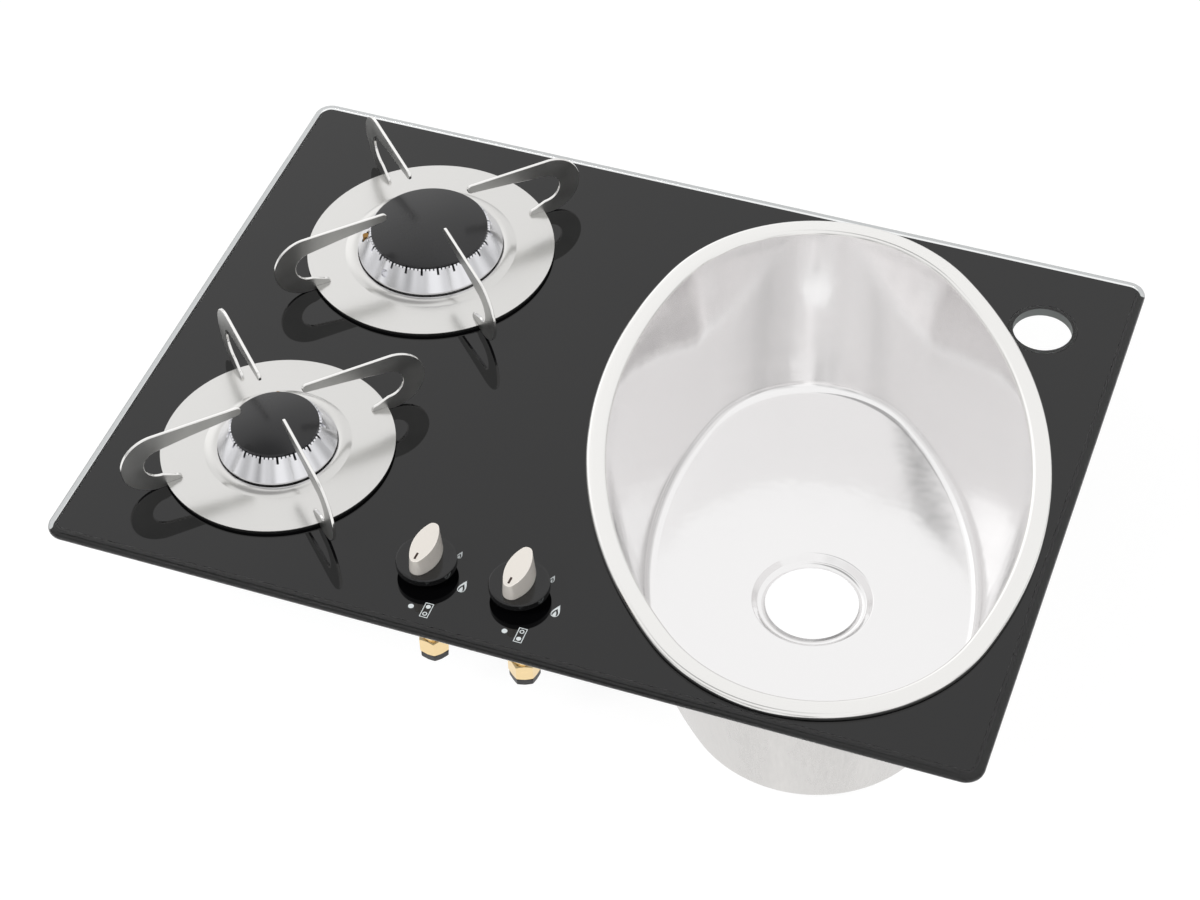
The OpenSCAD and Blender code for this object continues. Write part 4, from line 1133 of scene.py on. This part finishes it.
@dataclass
class Studio:
    """The floor, the surroundings, the lamps and the camera."""

    floor_z: float = -122.2
    floor_size: float = 9000.0
    floor_colour: str = "#F4F4F4"
    shadow_share: float = 0.2
    floor_glow: float = 1.12
    surround: float = 0.42
    room_range: Pair = (0.35, 1.05)
    band_scale: float = 3.2
    band_rise: float = 0.12
    band_range: Pair = (0.38, 0.62)
    sky_rise: Pair = (0.0, 0.68)
    sky_tilt: float = 0.25
    gap_at: Triple = (-0.3, 0.2, 0.93)
    gap_edge: Pair = (0.955, 0.99)
    gap_share: float = 0.4
    window_at: Triple = (-0.65, 0.65, 0.39)
    window_edge: Pair = (0.86, 0.99)
    window_glow: float = 0.3
    lamp_size: float = 750.0
    lamp_powers: Pair = (30.0, 15.0)
    lamps: tuple[Triple, Triple] = ((-1000.0, -1450.0, 1700.0), (1750.0, -400.0, 1600.0))
    camera_at: Triple = (467.255, -1225.726, 1353.447)
    camera_aim: Triple = (5.623, -41.570, 6.0)
    camera_roll_deg: float = -1.911
    lens: float = 87.766
    sensor: float = 36.0
    view_reach: float = 50000.0

    def ray_share(self, tree: Tree, *kinds: str) -> Socket:
        """Tells rays of the given kinds from the others.

        Args:
            tree: the tree that gets the nodes.
            kinds: names of the light path's outputs.

        Returns:
            The socket, which is 1 for such a ray.
        """
        path = add_node(tree, "ShaderNodeLightPath")
        share = path.outputs[kinds[0]]
        for kind in kinds[1:]:
            either = {0: share, 1: path.outputs[kind]}
            share = add_node(tree, "ShaderNodeMath", {"operation": "MAXIMUM"}, either).outputs[0]
        return share

    def spot(self, tree: Tree, towards: Socket, at: Triple, edge: Pair, values: Pair) -> Socket:
        """Marks a round patch of the sky.

        Args:
            tree: the world's tree.
            towards: the direction of the ray.
            at: the direction of the patch's middle.
            edge: the cosines of the angles where its soft edge starts and ends.
            values: the value outside of it and in it.

        Returns:
            The socket with the value.
        """
        aiming = {"operation": "DOT_PRODUCT", 1: Vector(at).normalized()}
        aim = add_node(tree, "ShaderNodeVectorMath", aiming, {0: towards})
        settings = range_settings(edge, values) | SMOOTH
        patch = add_node(tree, "ShaderNodeMapRange", settings, {"Value": aim.outputs["Value"]})
        return patch.outputs["Result"]

    def mirrored_sky(self, tree: Tree) -> Socket:
        """Makes what a mirror sees: a grey room with soft uprights, white above it and a dimmer gap overhead.

        The white starts lower at the rear than on the camera's side, and a window glows at the rear left.

        Args:
            tree: the world's tree.

        Returns:
            The socket with the strength.
        """
        towards = add_node(tree, "ShaderNodeTexCoord").outputs["Generated"]
        split = add_node(tree, "ShaderNodeSeparateXYZ", {}, {0: towards})
        flat = add_node(tree, "ShaderNodeMapping", {"Scale": (1.0, 1.0, self.band_rise)}, {"Vector": towards})
        blur = {"Scale": self.band_scale, "Detail": 1.0}
        bands = add_node(tree, "ShaderNodeTexNoise", blur, {"Vector": flat.outputs["Vector"]})
        shades = range_settings(self.band_range, self.room_range)
        room = add_node(tree, "ShaderNodeMapRange", shades, {"Value": bands.outputs["Fac"]})
        tilt = {"operation": "MULTIPLY_ADD", 1: self.sky_tilt}
        tilted = add_node(tree, "ShaderNodeMath", tilt, {0: split.outputs["Y"], 2: split.outputs["Z"]})
        rise = range_settings(self.sky_rise, (0.0, 1.0)) | SMOOTH
        above = {"Value": tilted.outputs[0], "To Min": room.outputs["Result"]}
        sky = add_node(tree, "ShaderNodeMapRange", rise, above)
        gap = self.spot(tree, towards, self.gap_at, self.gap_edge, (1.0, self.gap_share))
        window = self.spot(tree, towards, self.window_at, self.window_edge, (0.0, self.window_glow))
        parts = {0: sky.outputs["Result"], 1: gap, 2: window}
        return add_node(tree, "ShaderNodeMath", {"operation": "MULTIPLY_ADD"}, parts).outputs[0]

    def make_world(self) -> None:
        """Makes white surroundings that light the matt surfaces softly."""
        world = bpy.data.worlds.new("white_surround")
        bpy.context.scene.world = world
        tree = blank_tree(world)
        is_glossy = self.ray_share(tree, "Is Glossy Ray")
        mirrored = self.mirrored_sky(tree)
        glossy = add_node(tree, "ShaderNodeMix", {2: self.surround}, {0: is_glossy, 3: mirrored})
        seen = self.ray_share(tree, "Is Camera Ray", "Is Transmission Ray")
        strength = add_node(tree, "ShaderNodeMix", {3: 1.0}, {0: seen, 2: glossy.outputs[0]})
        shine = {"Strength": strength.outputs[0]}
        light = add_node(tree, "ShaderNodeBackground", {"Color": WHITE}, shine)
        add_node(tree, "ShaderNodeOutputWorld", {}, {"Surface": light.outputs["Background"]})

    def make_floor(self) -> None:
        """Makes the pale floor, which keeps the object's shadow."""
        shape = bmesh.new()
        bmesh.ops.create_grid(shape, x_segments=1, y_segments=1, size=self.floor_size / 2 * MM)
        bmesh.ops.translate(shape, verts=shape.verts, vec=UP * self.floor_z * MM)
        mesh = mesh_of("floor", shape)
        floor = add_object("floor", mesh)
        material = bpy.data.materials.new("studio_floor")
        tree = blank_tree(material)
        matt = add_node(tree, "ShaderNodeBsdfDiffuse", {"Color": linear(self.floor_colour)})
        shining = {"Color": WHITE, "Strength": self.floor_glow}
        glow = add_node(tree, "ShaderNodeEmission", shining)
        seen = self.ray_share(tree, "Is Camera Ray", "Is Glossy Ray", "Is Transmission Ray")
        scaling = {"operation": "MULTIPLY", 1: 1 - self.shadow_share}
        share = add_node(tree, "ShaderNodeMath", scaling, {0: seen})
        parts = {0: share.outputs[0], 1: matt.outputs["BSDF"], 2: glow.outputs["Emission"]}
        mixed = add_node(tree, "ShaderNodeMixShader", {}, parts)
        add_node(tree, "ShaderNodeOutputMaterial", {}, {"Surface": mixed.outputs["Shader"]})
        mesh.materials.append(material)

    def make_lamp(self, name: str, at: Triple, power: float) -> None:
        """Hangs one soft lamp that points at the object and that no mirror shows.

        Args:
            name: the lamp's name.
            at: where it hangs, in millimetres.
            power: its power in watts.
        """
        data = bpy.data.lights.new(name, "AREA")
        data.shape = "SQUARE"
        data.size = self.lamp_size * MM
        data.energy = power
        lamp = add_object(name, data)
        lamp.location = Vector(at) * MM
        lamp.visible_glossy = False
        lamp.rotation_euler = (-lamp.location).to_track_quat("-Z", "Y").to_euler()

    def make_camera(self) -> None:
        """Sets the camera where the photograph was taken from."""
        data = bpy.data.cameras.new("camera")
        data.lens = self.lens
        data.sensor_width = self.sensor
        data.clip_end = self.view_reach * MM
        camera = add_object("camera", data)
        at = Vector(self.camera_at) * MM
        aim = Vector(self.camera_aim) * MM
        level = (aim - at).to_track_quat("-Z", "Y").to_matrix().to_4x4()
        roll = Matrix.Rotation(math.radians(self.camera_roll_deg), 4, "Z")
        camera.matrix_world = Matrix.Translation(at) @ level @ roll
        bpy.context.scene.camera = camera

    def build(self) -> None:
        """Sets up the studio."""
        bpy.context.scene.view_settings.view_transform = "Standard"
        self.make_world()
        self.make_floor()
        for side, at, power in zip(Side, self.lamps, self.lamp_powers):
            self.make_lamp(f"lamp_{side.value}", at, power)
        self.make_camera()


def main() -> None:
    """Builds the parts in order."""
    logging.basicConfig(level=logging.INFO, format="%(name)s: %(message)s")
    Studio().build()
    parts = [
        GlassPanel(),
        Sink(),
        Burner(Row.REAR),
        Burner(Row.FRONT),
        GasTap(Side.LEFT, (-60.0, -170.0), 21.0),
        GasTap(Side.RIGHT, (0.6, -170.0), -9.0),
        Knob(Side.LEFT),
        Knob(Side.RIGHT),
        Underside(),
    ]
    for part in parts:
        log.info("%s", type(part).__name__)
        part.build()


if __name__ == "__main__":
    main()
